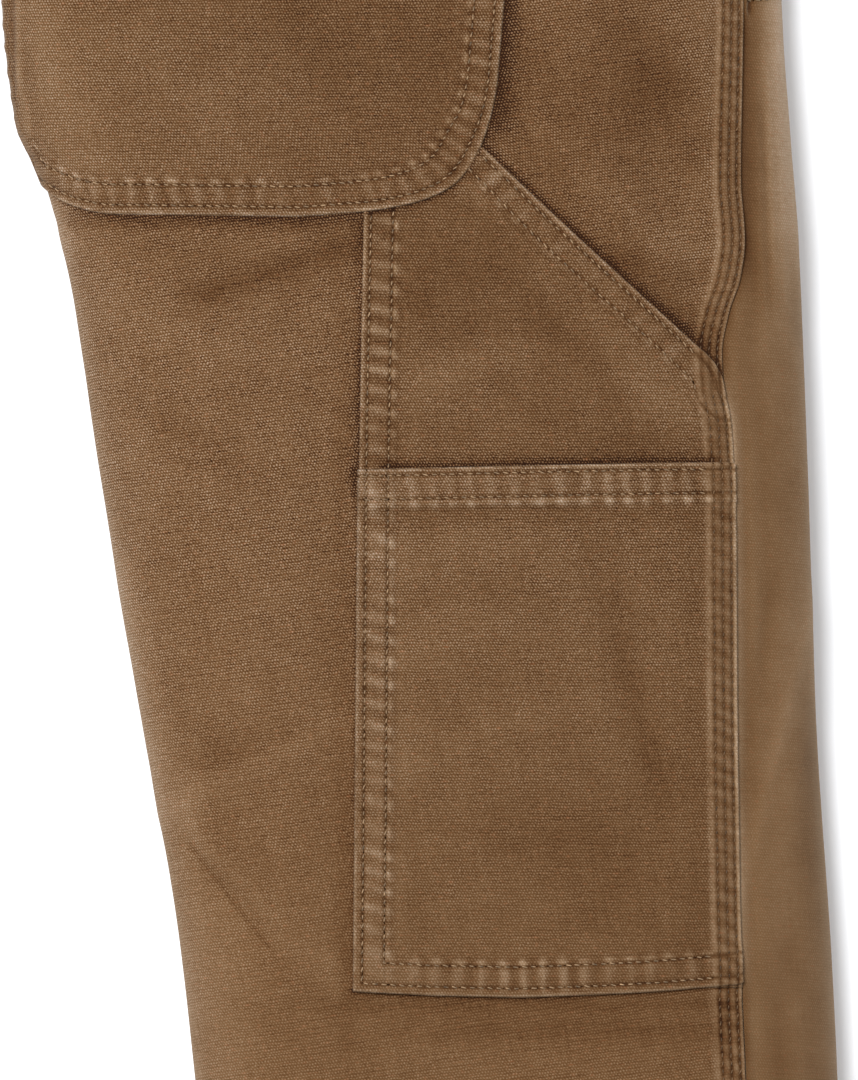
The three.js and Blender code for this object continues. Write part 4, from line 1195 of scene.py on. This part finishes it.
def front_surface(down, s):
    """The height, wear and shade of the front's face, a little lower than the ridge, with a folded mouth
    that has two rows of stitches. Shade is painted in the valley beside the ridge, and sheen towards the
    right edge and at the top. Beside the pockets, low is 1: the painted shade gives way to a rub, widened
    by painted light where the valley would be in shade."""
    from_seam = s - seam_at(down)
    x, _, _, nz = upper.at(down, s)
    lap, lap_wear, lap_shade = seam_rows(np.maximum(down - scoop_mouth(from_seam), 0), *SCOOP_ROWS)
    hem, hem_wear, hem_shade = hem_profile(down)
    below_slant = step(down, *FRONT_BESIDE_POCKETS[:2])
    valley = 0.5 * bell(from_seam, 1.6) - 1.2 * below_slant * bell(from_seam, 3.0)
    # The strokes press the cloth and paint shade and highlight on it.
    soft = tone("front", x, down) * step(nz, -0.1, 0.4)
    height = relief(x, down) * step(nz, -0.2, 0.5) + np.maximum(0.6 * lap, hem)
    low = plateau(down, *FRONT_BESIDE_POCKETS)
    # Painted shade in the valley beside the ridge.
    dark = (1.0 - low) * bell(from_seam, 2.6) * (0.85 + 0.3 * soft_noise(down, s, 8, 8, 51))
    # A rub along the ridge, and past it painted light over the valley's shade.
    pale = low * (0.8 * bell(from_seam, 1.1) + 0.42 * bell(from_seam, 3.6))
    # Painted sheen: paler away from the seam, and more so at the top.
    fade = 0.16 * step(from_seam, 6, 26) + 0.3 * step(from_seam, 4, 14) * (1 - step(down, 250, 300))
    wear_and_sheen = np.clip(0.6 * lap_wear + hem_wear + fade + pale, 0, 1)
    shade = np.clip(lap_shade + hem_shade + dark, 0, 1) + soft
    return height - 0.2 - valley - STROKE_DEPTH * soft, wear_and_sheen, shade


def front_grid(rows, step_size):
    """From the outseam round the right edge and into the groove."""
    shares = share_columns(90, step_size, (0, 0.4, 0.9, 1.5, 2.3, 3.4, 4.8), (0, 1.5))
    down = np.repeat(rows[:, None], len(shares), 1)
    start = seam_at(down) + SEAM_GAP
    return down, mix(start, upper.per_row(upper.s[:, -1], down), shares[None, :])


rows = piece_rows((SCOOP_END, 0), (184, 0.8), (622, 1.8), (1065, 4.8), (LENGTH, 1.6))
down, s = front_grid(rows, 1.6)
down = hang_down(down, scoop_mouth(s - seam_at(down)), SCOOP_END, LENGTH)
cloth("right_front", upper, down, s, front_surface(down, s), -WALL, FRONT_GRAIN, FRONT_CLOTH, (0.13, 1.04))

rows = piece_rows((BAND_EDGE, 0), (SCOOP_END, 2.5))
down, s = front_grid(rows, 3)
down = cut_below(down, BAND_EDGE, scoop_mouth(s - seam_at(down)) - SEAM_GAP, SCOOP_END)
face = relief(upper.at(down, s)[0], down) * 0.6 - 0.7
cloth("front_pocket_facing", upper, down, s, (face, 0, 0), -WALL, FRONT_GRAIN, FRONT_CLOTH, (0.13, 0.133))


def band_surface(down, s):
    """The height, wear and shade of the waistband's face over the top of the pile. It rolls off at its
    two edges and fades out towards the grooves."""
    edge = np.minimum(down, BAND_DEPTH - down)
    roll = np.sqrt(np.clip(edge / 0.9, 0, 1)) - 0.31 * bell(edge - BAND_ROW, 0.7)
    fade = np.clip(np.minimum(s, upper.per_row(upper.s[:, -1], down) - s) / 20, 0, 1)
    height = (roll + 0.5 * relief(upper.at(down, s)[0], down)) * fade
    # The last is painted shade in the row's groove.
    return height, 0.45 * bell(edge - 0.5, 0.8), 0.4 * bell(edge - BAND_ROW, 0.8)


BAND_COLUMNS = (upper, 190), (lower, 120)
BAND_ROUND = 640


def band_ring(rows, outside):
    """The waistband's points, from the right groove over the top, round the left fold and back along
    the surface, as one grid of places in metres."""
    grids = []
    for side, columns in BAND_COLUMNS:
        down = np.repeat(rows[:, None], columns, 1)
        s = np.linspace(1, 0, columns)[None, :] * side.per_row(side.s[:, -1], down)
        lift = band_surface(down, s)[0] if side is upper else 0 * s
        grids.append(places(side, s, down, lift if outside else -WALL))
    return np.concatenate(grids, 1)


rows = piece_rows((0, 0), (1, 0.4), (8, 0.9), (36, 2), (BAND_DEPTH, 0.9))
outer = band_ring(rows, True)
across, along = np.meshgrid(np.linspace(0, BAND_ROUND, outer.shape[1]), rows)
_, wear_and_sheen, shade = band_surface(rows[:, None], 0 * rows[:, None])
sheet("waistband", outer, band_ring(rows, False), cut_place(across, along, 90), wear_and_sheen, shade, LEG_CLOTH,
      (0.66, 0.045))

# %% [markdown]
# The lower half
#
# Under the pile lie the left front, which shows below the groove at the right edge, and the left back
# with its yoke, on which everything rests. Their undersides are flat on the surface, so the relief
# fades out there.

# %% Lower half
def lower_cloth(node, top, bottom, pitch, finish, flat, on=("surface",), front=False):
    """A wall of the lower half, from the outseam to the left groove or, for the front, from the right
    groove to the outseam."""
    shares = share_columns(260, 4.5, (0, 2, 4), (0, 2, 4))[None, :]
    down = np.repeat(piece_rows((top, 0), (bottom, pitch))[:, None], shares.shape[1], 1)
    outseam = lower.per_row(lower.ends[:, 1], down) + 5
    if front:
        s = shares * outseam
    else:
        s = mix(outseam + SEAM_GAP, lower.per_row(lower.s[:, -1], down), shares)
    x, _, _, nz = lower.at(down, s)
    face = relief(x + 400, down) * 0.7 * step(nz, -0.75, 0.2)
    cloth(node, lower, down, s, (face, 0, 0), -WALL, GRAIN, finish, flat, on)


lower_cloth("left_front", BAND_EDGE, LENGTH, 6, FRONT_CLOTH, (0.07, 1.04), ("left_back",), True)
lower_cloth("left_back", YOKE_AT_CENTRE + SEAM_GAP, LENGTH, 6, LEG_CLOTH, (0.33, 0.99))
lower_cloth("left_yoke", BAND_EDGE, YOKE_AT_CENTRE, 4, LEG_CLOTH, (0.32, 0.051))

hidden = bpy.data.objects["folded_layers"]
hidden.data.materials.clear()
hidden.data.materials.append(hidden_canvas)

# %% [markdown]
# Patch pockets
#
# A pocket is cut flat, its edges are turned under, and it is sewn down with two rows of stitches. Its
# grid is stretched between its four sides, so the rows follow the edges, and they lie closer together
# near an edge. The cloth under it is the back panel, and under the utility pocket it is the tool
# pocket, so each pocket's height starts from what it lies on.

# %% Pocket grids
def on_cloth(line):
    """A line of x and down, as one of s and down with a point every 2 mm or closer."""
    count = int(line_length(line) / 2) + 2
    fine = resample(line, np.linspace(0, 1, count))
    return np.stack([s_of_x(fine[:, 1], fine[:, 0]), fine[:, 1]], -1)


def stretch(top, right, bottom, left, u, v):
    """A grid between four sides: the blend of left and right, plus the blend of top and bottom, less
    the blend of the four corners. Top and bottom run to the right, left and right run down."""
    over = resample(top, u)[None, :, :]
    under = resample(bottom, u)[None, :, :]
    start = resample(left, v)[:, None, :]
    stop = resample(right, v)[:, None, :]
    u = u[None, :, None]
    v = v[:, None, None]
    corners = mix(mix(over[:, :1], over[:, -1:], u), mix(under[:, :1], under[:, -1:], u), v)
    grid = mix(start, stop, u) + mix(over, under, v) - corners
    return grid[..., 0], grid[..., 1]


def ridge_line(from_down, to_down):
    """The outseam's ridge between two levels, as s and down."""
    down = np.linspace(from_down, to_down, int(abs(to_down - from_down) / 2) + 2)
    return np.stack([seam_at(down), down], -1)


def led_to(line, end):
    """A line of x and down, as s and down, cut short and led to an end on the ridge."""
    line = on_cloth(line)
    return np.concatenate([line[line[:, 0] < end[0] - 1], [end]])


def left_turn(down):
    """Where a pocket ends that goes round the pile's left edge."""
    return mix(0.3, 0.85, step(down, 200, 240)) * upper.per_row(upper.ends[:, 0], down)


PATCH_THICK = 1.1
TOOL_THICK = 0.8
PATCH_GAP = 0.05
FINE_EDGE = (0, 0.2, 0.5, 0.9, 1.4, 2.0, 2.6, 3.2, 3.8, 4.4, 5.2, 6.4, 7.8, 9.2, 10.4, 11.2, 11.8, 12.4,
             13.0, 13.8, 15.0)


def sewn_edges(down, s, edges, thick=PATCH_THICK):
    """A patch's own height above what it lies on, with its wear and shade: the cloth's thickness, plus
    every sewn edge's turned allowance, puckers and grooves, all of it rounded off at the edges."""
    height = np.full(s.shape, thick)
    fold = np.ones(s.shape)
    wear_and_sheen = np.zeros(s.shape)
    shade = np.zeros(s.shape)
    for edge in edges:
        dist, along = signed_distance(edge["line"], s, down)
        one_fold, extra, one_wear, one_shade = edge_profile(dist, along, edge)
        fold = fold * one_fold
        height = height + extra
        wear_and_sheen = np.maximum(wear_and_sheen, one_wear)
        shade = np.maximum(shade, one_shade)
    return np.maximum(height, 0.25) * fold, wear_and_sheen, shade


def press(soft, most):
    """How far strokes press a patch in: as far as they press the cloth under it, but never past most, so
    that the patch keeps its wall."""
    return most * np.tanh(STROKE_DEPTH * soft / most)


# %% [markdown]
# Back pocket
#
# Its lower part fills the photo's top left corner. It goes round the fold at the left, where the two
# back pockets of such pants nearly meet, and its lower right corner is a wide curve. It lies on the
# tool pocket's top edge there, so it stands a little higher.

# %% Back pocket
back_top = on_cloth([(4, 101.1), (202.9, 93)])
back_top = np.concatenate([[(left_turn(101.3), 101.3)], back_top])
back_right = on_cloth(np.concatenate([[(202.9, 93), (201.8, 178)], BACK_CORNER[:5]]))
back_bottom = on_cloth(np.concatenate([
    [(17, 250.5)], curve((17.6, 251.6), (26, 261.7), (44, 263.7)), [(120, 264.8)],
    BACK_BOTTOM[::-1], BACK_CORNER[::-1][1:5],
]))
left_levels = np.linspace(101.3, 226, 50)
back_left = np.concatenate([
    np.stack([left_turn(left_levels), left_levels], -1),
    [(left_turn(234) + 0.5, 234), (left_turn(242) + 1.5, 242)], back_bottom[:1],
])
BACK_EDGES = (
    dict(line=np.concatenate([back_right, back_bottom[::-1][1:], back_left[::-1][1:25]]), rows=(3.8, 12.0),
         allowance=13.6, turned=0.6, pucker=0.36, pale=0.25, even=0.0, lip=1.0, seed=61),
    dict(line=back_top, rows=(22.0, 28.5),
         allowance=30, turned=0.5, pucker=0.12, pale=0.1, even=0.0, lip=0.6, seed=65),
)


def patch(node, down, s, surface, below, lean, *what):
    """A patch sewn on what lies below it: its back is just above that, and its face is never lower."""
    face, wear_and_sheen, shade = surface(down, s)
    back = below(down, s)[0] + PATCH_GAP
    cloth(node, upper, down, s, (np.maximum(face, back), wear_and_sheen, shade), back, lean, *what, "laid")


def back_pocket_surface(down, s):
    """The height, wear and shade of the back pocket's face, which rises over the tool pocket's corner.
    Round the left fold it stays plain."""
    under = back_surface(down, s)[0]
    own, wear_and_sheen, shade = sewn_edges(down, s, BACK_EDGES)
    x = upper.at(down, s)[0]
    dist, _ = signed_distance(BACK_EDGES[0]["line"], s, down)
    on_tool = 0.9 * step(x, 140, 148) * bell(dist, 12) * step(down, 226, 236)
    # The strokes press the patch and paint shade and highlight on it.
    soft = tone("back_pocket", x, down)
    on_top = step(x, 10, 17)
    return under + own + on_tool - press(soft, 0.7), wear_and_sheen * on_top, shade * on_top + soft


def pocket_grid(top, right, bottom, left, coarse, across_ends, down_ends):
    """The grid of a patch with steps of coarse inside it and finer ones along its edges."""
    u = share_columns(line_length(bottom), coarse, *across_ends)
    v = share_columns(line_length(left), coarse, *down_ends)
    return stretch(top, right, bottom, left, u, v)


s, down = pocket_grid(back_top, back_right, back_bottom, back_left, 1.45, (FINE_EDGE, FINE_EDGE),
                      ((0, 0.3, 0.9, 2), FINE_EDGE))
patch("back_pocket", down, s, back_pocket_surface, back_surface, 0.5, POCKET_CLOTH, (0.25, 0.17),
      ["right_back_cloth"])

# %% [markdown]
# Tool pocket
#
# A long pocket with a slanted opening, from the back pocket's corner to the outseam, where its edge is
# caught in the felled band. Its cloth sinks a little into the mouth of the utility pocket.

# %% Tool pocket
TOOL_CAUGHT = 334.0
slant = np.concatenate([
    [(191.2, 235.4), SLANT_START, SLANT_MIDDLE], curve(SLANT_END, (288.6, 325.8), (289.5, 334), 7),
])
tool_top = on_cloth(np.concatenate([
    [(145.6, 259.6), (152, 258.4), (166, 254.6), (178, 248.2), (186.5, 240.4)], slant[:-1],
]))
tool_top = np.concatenate([tool_top, ridge_line(TOOL_CAUGHT, TOOL_CAUGHT + 1)[:1]])
tool_side = on_cloth([(145.6, 259.6), photo(361, 356), photo(359, 470), photo(357, 960), (142.9, 573)])
tool_right = ridge_line(TOOL_CAUGHT, 573)
tool_bottom = led_to([(142.9, 573), (300, 573)], tool_right[-1])
TOOL_EDGES = (
    dict(line=tool_side[::-1], rows=(2.9, 11.6),
         allowance=13.0, turned=0.5, pucker=0.38, pale=0.40, even=0.1, lip=0.7, seed=71),
    dict(line=on_cloth(slant), rows=(3.3, 12.2),
         allowance=13.4, turned=0.7, pucker=0.36, pale=0.40, even=0.0, lip=0.9, seed=75),
)


def tool_pocket_surface(down, s):
    """The height, wear and shade of the tool pocket's face, which sinks at the utility pocket's mouth."""
    under = back_surface(down, s)[0]
    own, wear_and_sheen, shade = sewn_edges(down, s, TOOL_EDGES, TOOL_THICK)
    _, band_wear, band_shade = felled_band(s - seam_at(down), down)
    x = upper.at(down, s)[0]
    mouth = 0.3 * bell(signed_distance(utility_top, x, down)[0], 5) * plateau(x, 172, 200, 268, 284)
    # The strokes press the patch and paint shade and highlight on it.
    soft = tone("tool", x, down)
    # It is painted less pale where it sinks into the mouth, as shade there.
    wear_and_sheen = np.clip(np.maximum(wear_and_sheen, band_wear) - mouth, 0, 1)
    shade = np.clip(np.maximum(shade, band_shade), 0, 1.6) + soft
    return under + own - mouth - press(soft, 0.4), wear_and_sheen, shade


TOOL_SHOWS = 118.0
TOOL_LONG = 313.0
above = share_columns(TOOL_SHOWS, 1.4, FINE_EDGE, (0,)) * TOOL_SHOWS
below = np.linspace(TOOL_SHOWS, TOOL_LONG, 36)[1:]
s, down = stretch(tool_top, tool_right, tool_bottom, tool_side,
                  share_columns(line_length(tool_top), 1.4, FINE_EDGE, EDGE_STEPS),
                  np.concatenate([above, below]) / TOOL_LONG)
patch("tool_pocket", down, s, tool_pocket_surface, back_surface, 0.0, TOOL_CLOTH, (0.21, 0.34),
      ["right_back_cloth"])

# %% [markdown]
# Utility pocket
#
# It is sewn over the tool pocket with two rows down the left side and along the bottom, and its top
# edge is a hem that stands off a little.

# %% Utility pocket
utility_right = ridge_line(photo(0, 463)[1], photo(0, 983)[1])
utility_above = led_to(utility_top, utility_right[0])
utility_below = led_to(utility_bottom, utility_right[-1])
utility_side = on_cloth(utility_left)
UTILITY_EDGES = (
    dict(line=np.concatenate([utility_below[::-1], utility_side[::-1][1:]]), rows=(3.6, 12.2),
         allowance=13.6, turned=0.6, pucker=0.50, pale=0.44, even=0.10, lip=0.65, seed=81),
    dict(line=utility_above, rows=(2.8, 12.2),
         allowance=15.2, turned=0.7, pucker=0.16, pale=0.24, even=0.24, lip=0.8, seed=85),
)


def utility_surface(down, s):
    """The height, wear and shade of the utility pocket's face, whose mouth gapes a little."""
    under = tool_pocket_surface(down, s)[0]
    own, wear_and_sheen, shade = sewn_edges(down, s, UTILITY_EDGES)
    _, band_wear, band_shade = felled_band(s - seam_at(down), down)
    x = upper.at(down, s)[0]
    gape = 0.9 * bell(signed_distance(utility_above, s, down)[0], 11) * plateau(x, 165, 200, 262, 284)
    # The strokes press the patch and paint shade and highlight on it.
    soft = tone("utility", x, down)
    wear_and_sheen = np.clip(np.maximum(wear_and_sheen, band_wear), 0, 1)
    shade = np.clip(np.maximum(shade, band_shade), 0, 1.6) + soft
    return under + own + gape - press(soft, 0.7), wear_and_sheen, shade


s, down = pocket_grid(utility_above, utility_right, utility_below, utility_side, 1.5,
                      (FINE_EDGE, EDGE_STEPS), (FINE_EDGE, FINE_EDGE))
patch("utility_pocket", down, s, utility_surface, tool_pocket_surface, 0.0, POCKET_CLOTH, (0.18, 0.22),
      ["tool_pocket_cloth"])

# %% [markdown]
# Belt loops
#
# Narrow straps over the waistband, sewn down at both ends, so they arch a little between the tacks.

# %% Belt loops
LOOP_WIDTH = 12.0
LOOP_FROM = 1.5
LOOP_TO = 52.0
LOOP_FOLD = 1.35


def belt_loop(node, middle):
    """A strap of folded cloth that arches between its two ends. Middle is the running length of its
    middle line at each level."""
    down = piece_rows((LOOP_FROM, 0), (LOOP_TO, 0.8))[:, None]
    half = np.array([0, 1.2, 2.5, 3.8, 4.6, 5.4, 5.8, LOOP_WIDTH / 2])
    across = np.concatenate([-half[:0:-1], half])[None, :]
    down = np.repeat(down, across.shape[1], 1)
    arch = LOOP_FOLD + 1.5 * np.sin(math.pi * (down - LOOP_FROM) / (LOOP_TO - LOOP_FROM))
    side = LOOP_WIDTH / 2 - np.abs(across)
    groove = 0.25 * bell(side - 1.9, 0.6)
    face = arch + 0.15 + LOOP_FOLD * round_edge(side, 0.8) - groove
    # Painted shade in the stitched grooves near the sides.
    surface = face, 0.5 * bell(side - 0.5, 0.8), 1.4 * groove
    cloth(node, upper, down, middle(down) + across, surface, arch, 0, POCKET_CLOTH, (0.012, 0.055),
          ["waistband_cloth"])


belt_loop("belt_loop_centre", lambda down: upper.per_row(upper.ends[:, 0], down) + 2)
belt_loop("belt_loop_back", lambda down: s_of_x(down, 136.0 + 0 * down))
belt_loop("belt_loop_side", lambda down: s_of_x(down, 246.0 + 0 * down))

# %% [markdown]
# Stitches
#
# A lockstitch shows as a row of short, thick dashes of thread. Each one bulges up out of its groove and
# dives into a needle hole at both ends, and the shade in the holes is painted as small dark ovals.
# Every stitch is a small tube of six sides, and all of them are worked out at once and joined into one
# mesh.

# %% Stitches
def offset_line(line, by):
    """A line moved to its right-hand side, with its corners kept sharp."""
    d = np.diff(line, axis=0)
    d = d / np.hypot(*d.T)[:, None]
    normal = np.stack([-d[:, 1], d[:, 0]], -1)
    first = np.concatenate([normal[:1], normal])
    second = np.concatenate([normal, normal[-1:]])
    both = first + second
    both = both / np.maximum(np.hypot(*both.T), 1e-6)[:, None]
    stretch_by = 1 / np.maximum((both * first).sum(1), 0.5)
    moved = line + both * (by * stretch_by)[:, None]
    dist, _ = signed_distance(line, moved[:, 0], moved[:, 1])
    return moved[dist > 0.97 * by]


THREAD_RADIUS = 0.29
THREAD_POINTS = 7
THREAD_SIDES = 6
HOLE_LONG = 0.72
HOLE_WIDE = 0.42
HOLE_SIDES = 8


def stitch_points(lines, pitch, seed):
    """For every stitch the points along it, and for every needle hole three points through it, as s
    and down. Their lengths, places and slants vary a little."""
    random = np.random.default_rng(seed)
    along = np.linspace(-1, 1, THREAD_POINTS)[None, :]
    threads = []
    holes = []
    for line in lines:
        length = line_length(line)
        count = max(1, int(length / pitch))
        middle = (np.arange(count) + 0.5) * length / count
        half = 0.5 * length / count * random.uniform(0.56, 0.72, count)
        at = middle[:, None] + half[:, None] * along + random.normal(0, 0.05, (count, 1))
        points = resample(line, np.clip(at / length, 0, 1).ravel()).reshape(count, -1, 2)
        slant = random.normal(0.10, 0.05, (count, 1, 1)) * along[:, :, None]
        way = points[:, -1:, :] - points[:, :1, :]
        threads.append(points + slant * np.stack([-way[..., 1], way[..., 0]], -1))
        at = np.arange(count + 1)[:, None] + np.array([-0.1, 0, 0.1])[None, :]
        holes.append(resample(line, np.clip(at / count, 0, 1).ravel()).reshape(count + 1, 3, 2))
    return np.concatenate(threads), np.concatenate(holes)


def thread_tubes(threads, surface, radius):
    """Points and faces of a tube for every stitch, which bulges up and dives down at both ends."""
    s, down = threads[..., 0], threads[..., 1]
    height = surface(down, s)[0]
    height = mix(height, height.mean(1, keepdims=True), 0.5)
    t = np.linspace(-1, 1, THREAD_POINTS)[None, :]
    centre = places(upper, s, down, height + 0.30 - 0.55 * t**4)
    _, _, nx, nz = upper.at(down, s)
    out = np.stack([nx, 0 * nx, nz], -1)
    side = np.cross(np.gradient(centre, axis=1), out)
    side = side / np.linalg.norm(side, axis=-1, keepdims=True)
    turn = np.linspace(0, 2 * math.pi, THREAD_SIDES, endpoint=False)[None, None, :, None]
    ring = side[:, :, None, :] * np.cos(turn) + out[:, :, None, :] * (0.75 * np.sin(turn))
    size = (radius * (1 - 0.35 * t**4) * MM)[..., None, None]
    points = centre[:, :, None, :] + ring * size
    around = np.arange(THREAD_SIDES)
    number = np.arange(len(points))[:, None, None] * THREAD_POINTS
    number = number + np.arange(THREAD_POINTS - 1)[None, :, None]
    near = number * THREAD_SIDES + around
    after = number * THREAD_SIDES + np.roll(around, -1)
    faces = np.stack([near, after, after + THREAD_SIDES, near + THREAD_SIDES], -1)
    return points.reshape(-1, 3), faces.reshape(-1, 4)


def hole_fans(holes, surface):
    """Points and faces of a small oval of painted shade for every needle hole: triangles round a slightly
    raised middle.
    """
    way = holes[:, 2] - holes[:, 0]
    way = way / np.maximum(np.hypot(*way.T), 1e-6)[:, None]
    s, down = holes[:, 1, 0], holes[:, 1, 1]
    height = surface(down, s)[0]
    turn = np.linspace(0, 2 * math.pi, HOLE_SIDES, endpoint=False)[None, :]
    far = HOLE_LONG * np.cos(turn)
    wide = HOLE_WIDE * np.sin(turn)
    rim_s = s[:, None] + far * way[:, :1] - wide * way[:, 1:]
    rim_down = down[:, None] + far * way[:, 1:] + wide * way[:, :1]
    rim = places(upper, rim_s, rim_down, height[:, None] - 0.05)
    middle = places(upper, s, down, height + 0.10)[:, None, :]
    points = np.concatenate([rim, middle], 1)
    first = np.arange(len(points))[:, None] * (HOLE_SIDES + 1)
    k = np.arange(HOLE_SIDES)[None, :]
    faces = np.stack([first + k, first + (k + 1) % HOLE_SIDES, first + HOLE_SIDES + 0 * k], -1)
    return points.reshape(-1, 3), faces.reshape(-1, 3)


def sew(name, lines, surface, seed, pitch=STITCH_PITCH, radius=THREAD_RADIUS, material=thread,
        hole=needle_hole_shade):
    """Two meshes for these rows of stitches: the thread, and dark ovals of painted shade in the needle
    holes.
    """
    threads, holes = stitch_points(lines, pitch, seed)
    points, quads = thread_tubes(threads, surface, radius)
    mesh_piece(name + "_thread", points, quads, material)
    points, fans = hole_fans(holes, surface)
    mesh_piece(name + "_holes", points, fans, hole)
    print(name, "stitches:", len(threads), "triangles:", 2 * len(quads) + len(fans))


def cut_at_band(line):
    """The stretch of a line of s and down that stays left of the felled band."""
    fine = resample(line, np.linspace(0, 1, int(line_length(line)) + 2))
    return fine[fine[:, 0] < seam_at(fine[:, 1]) - FELL_WIDTH - 1.0]


def beside_ridge(levels, by):
    """A line at a distance to the right of the outseam's ridge, as s and down."""
    return np.stack([seam_at(levels) + by, levels], -1)


def top_surface(down, s):
    """What lies on top at the felled band: the yoke, the back, or a pocket that is caught in it."""
    on_yoke = down < yoke_seam(s - seam_at(down))
    height = np.where(on_yoke, yoke_surface(down, s)[0], back_surface(down, s)[0])
    first, last = utility_right[[0, -1], 1]
    on_tool = (down > TOOL_CAUGHT + 0.5) & (down <= first)
    height = np.where(on_tool, tool_pocket_surface(down, s)[0], height)
    return (np.where((down > first) & (down < last), utility_surface(down, s)[0], height),)


def across_leg(level_at, first, last, count=150):
    """A line across the leg as s and down, with its level from the distance to the seam."""
    seam = seam_at(level_at(0.0))
    s = np.linspace(first, seam + last, count)
    return np.stack([s, level_at(s - seam)], -1)


def level(down):
    """The same level at every distance from the seam."""
    return lambda from_seam: down + 0 * from_seam


BEHIND_SEAM = -FELL_WIDTH - 1.5
HEM_ROW = LENGTH - HEM_STITCHES
FELL_PITCH = 3.2
FELL_RADIUS = 0.25
yoke_lines = [
    across_leg(lambda from_seam, row=row: yoke_seam(from_seam) - row, 12, BEHIND_SEAM) for row in YOKE_ROWS
]
sew("yoke", yoke_lines, yoke_surface, 9)
band_lines = [across_leg(level(row), 14, 60) for row in (BAND_ROW, BAND_DEPTH - BAND_ROW)]
sew("waistband", band_lines, band_surface, 10)
sew("back_hem", [across_leg(level(HEM_ROW), 12, BEHIND_SEAM)], back_surface, 11)
front_hem = across_leg(level(HEM_ROW), 12, 30)
sew("front_hem", [front_hem[front_hem[:, 0] > seam_s[int(HEM_ROW)] + 1]], front_surface, 12)
from_seam = np.linspace(2, 70, 60)
scoop_lines = [beside_ridge(scoop_mouth(from_seam) + row, from_seam) for row in SCOOP_ROWS]
sew("scoop", scoop_lines, front_surface, 13)

levels = np.linspace(LENGTH - 1.5, BAND_DEPTH + 1, 500)
fell_lines = [beside_ridge(levels, -row) for row in FELL_ROWS]
sew("fell", fell_lines, top_surface, 5, FELL_PITCH, FELL_RADIUS, dark_thread, fell_hole_shade)
ROWS_START = 16.0
rows_of_back = [offset_line(BACK_EDGES[0]["line"], row) for row in BACK_EDGES[0]["rows"]]
rows_of_back = [line[upper.at(line[:, 1], line[:, 0])[0] > ROWS_START] for line in rows_of_back]
sew("back_pocket", rows_of_back, back_pocket_surface, 6)
for name, edges, surface, seed in (("tool_pocket", TOOL_EDGES, tool_pocket_surface, 7),
                                   ("utility_pocket", UTILITY_EDGES, utility_surface, 8)):
    lines = [cut_at_band(offset_line(edge["line"], row)) for edge in edges for row in edge["rows"]]
    sew(name, lines, surface, seed)
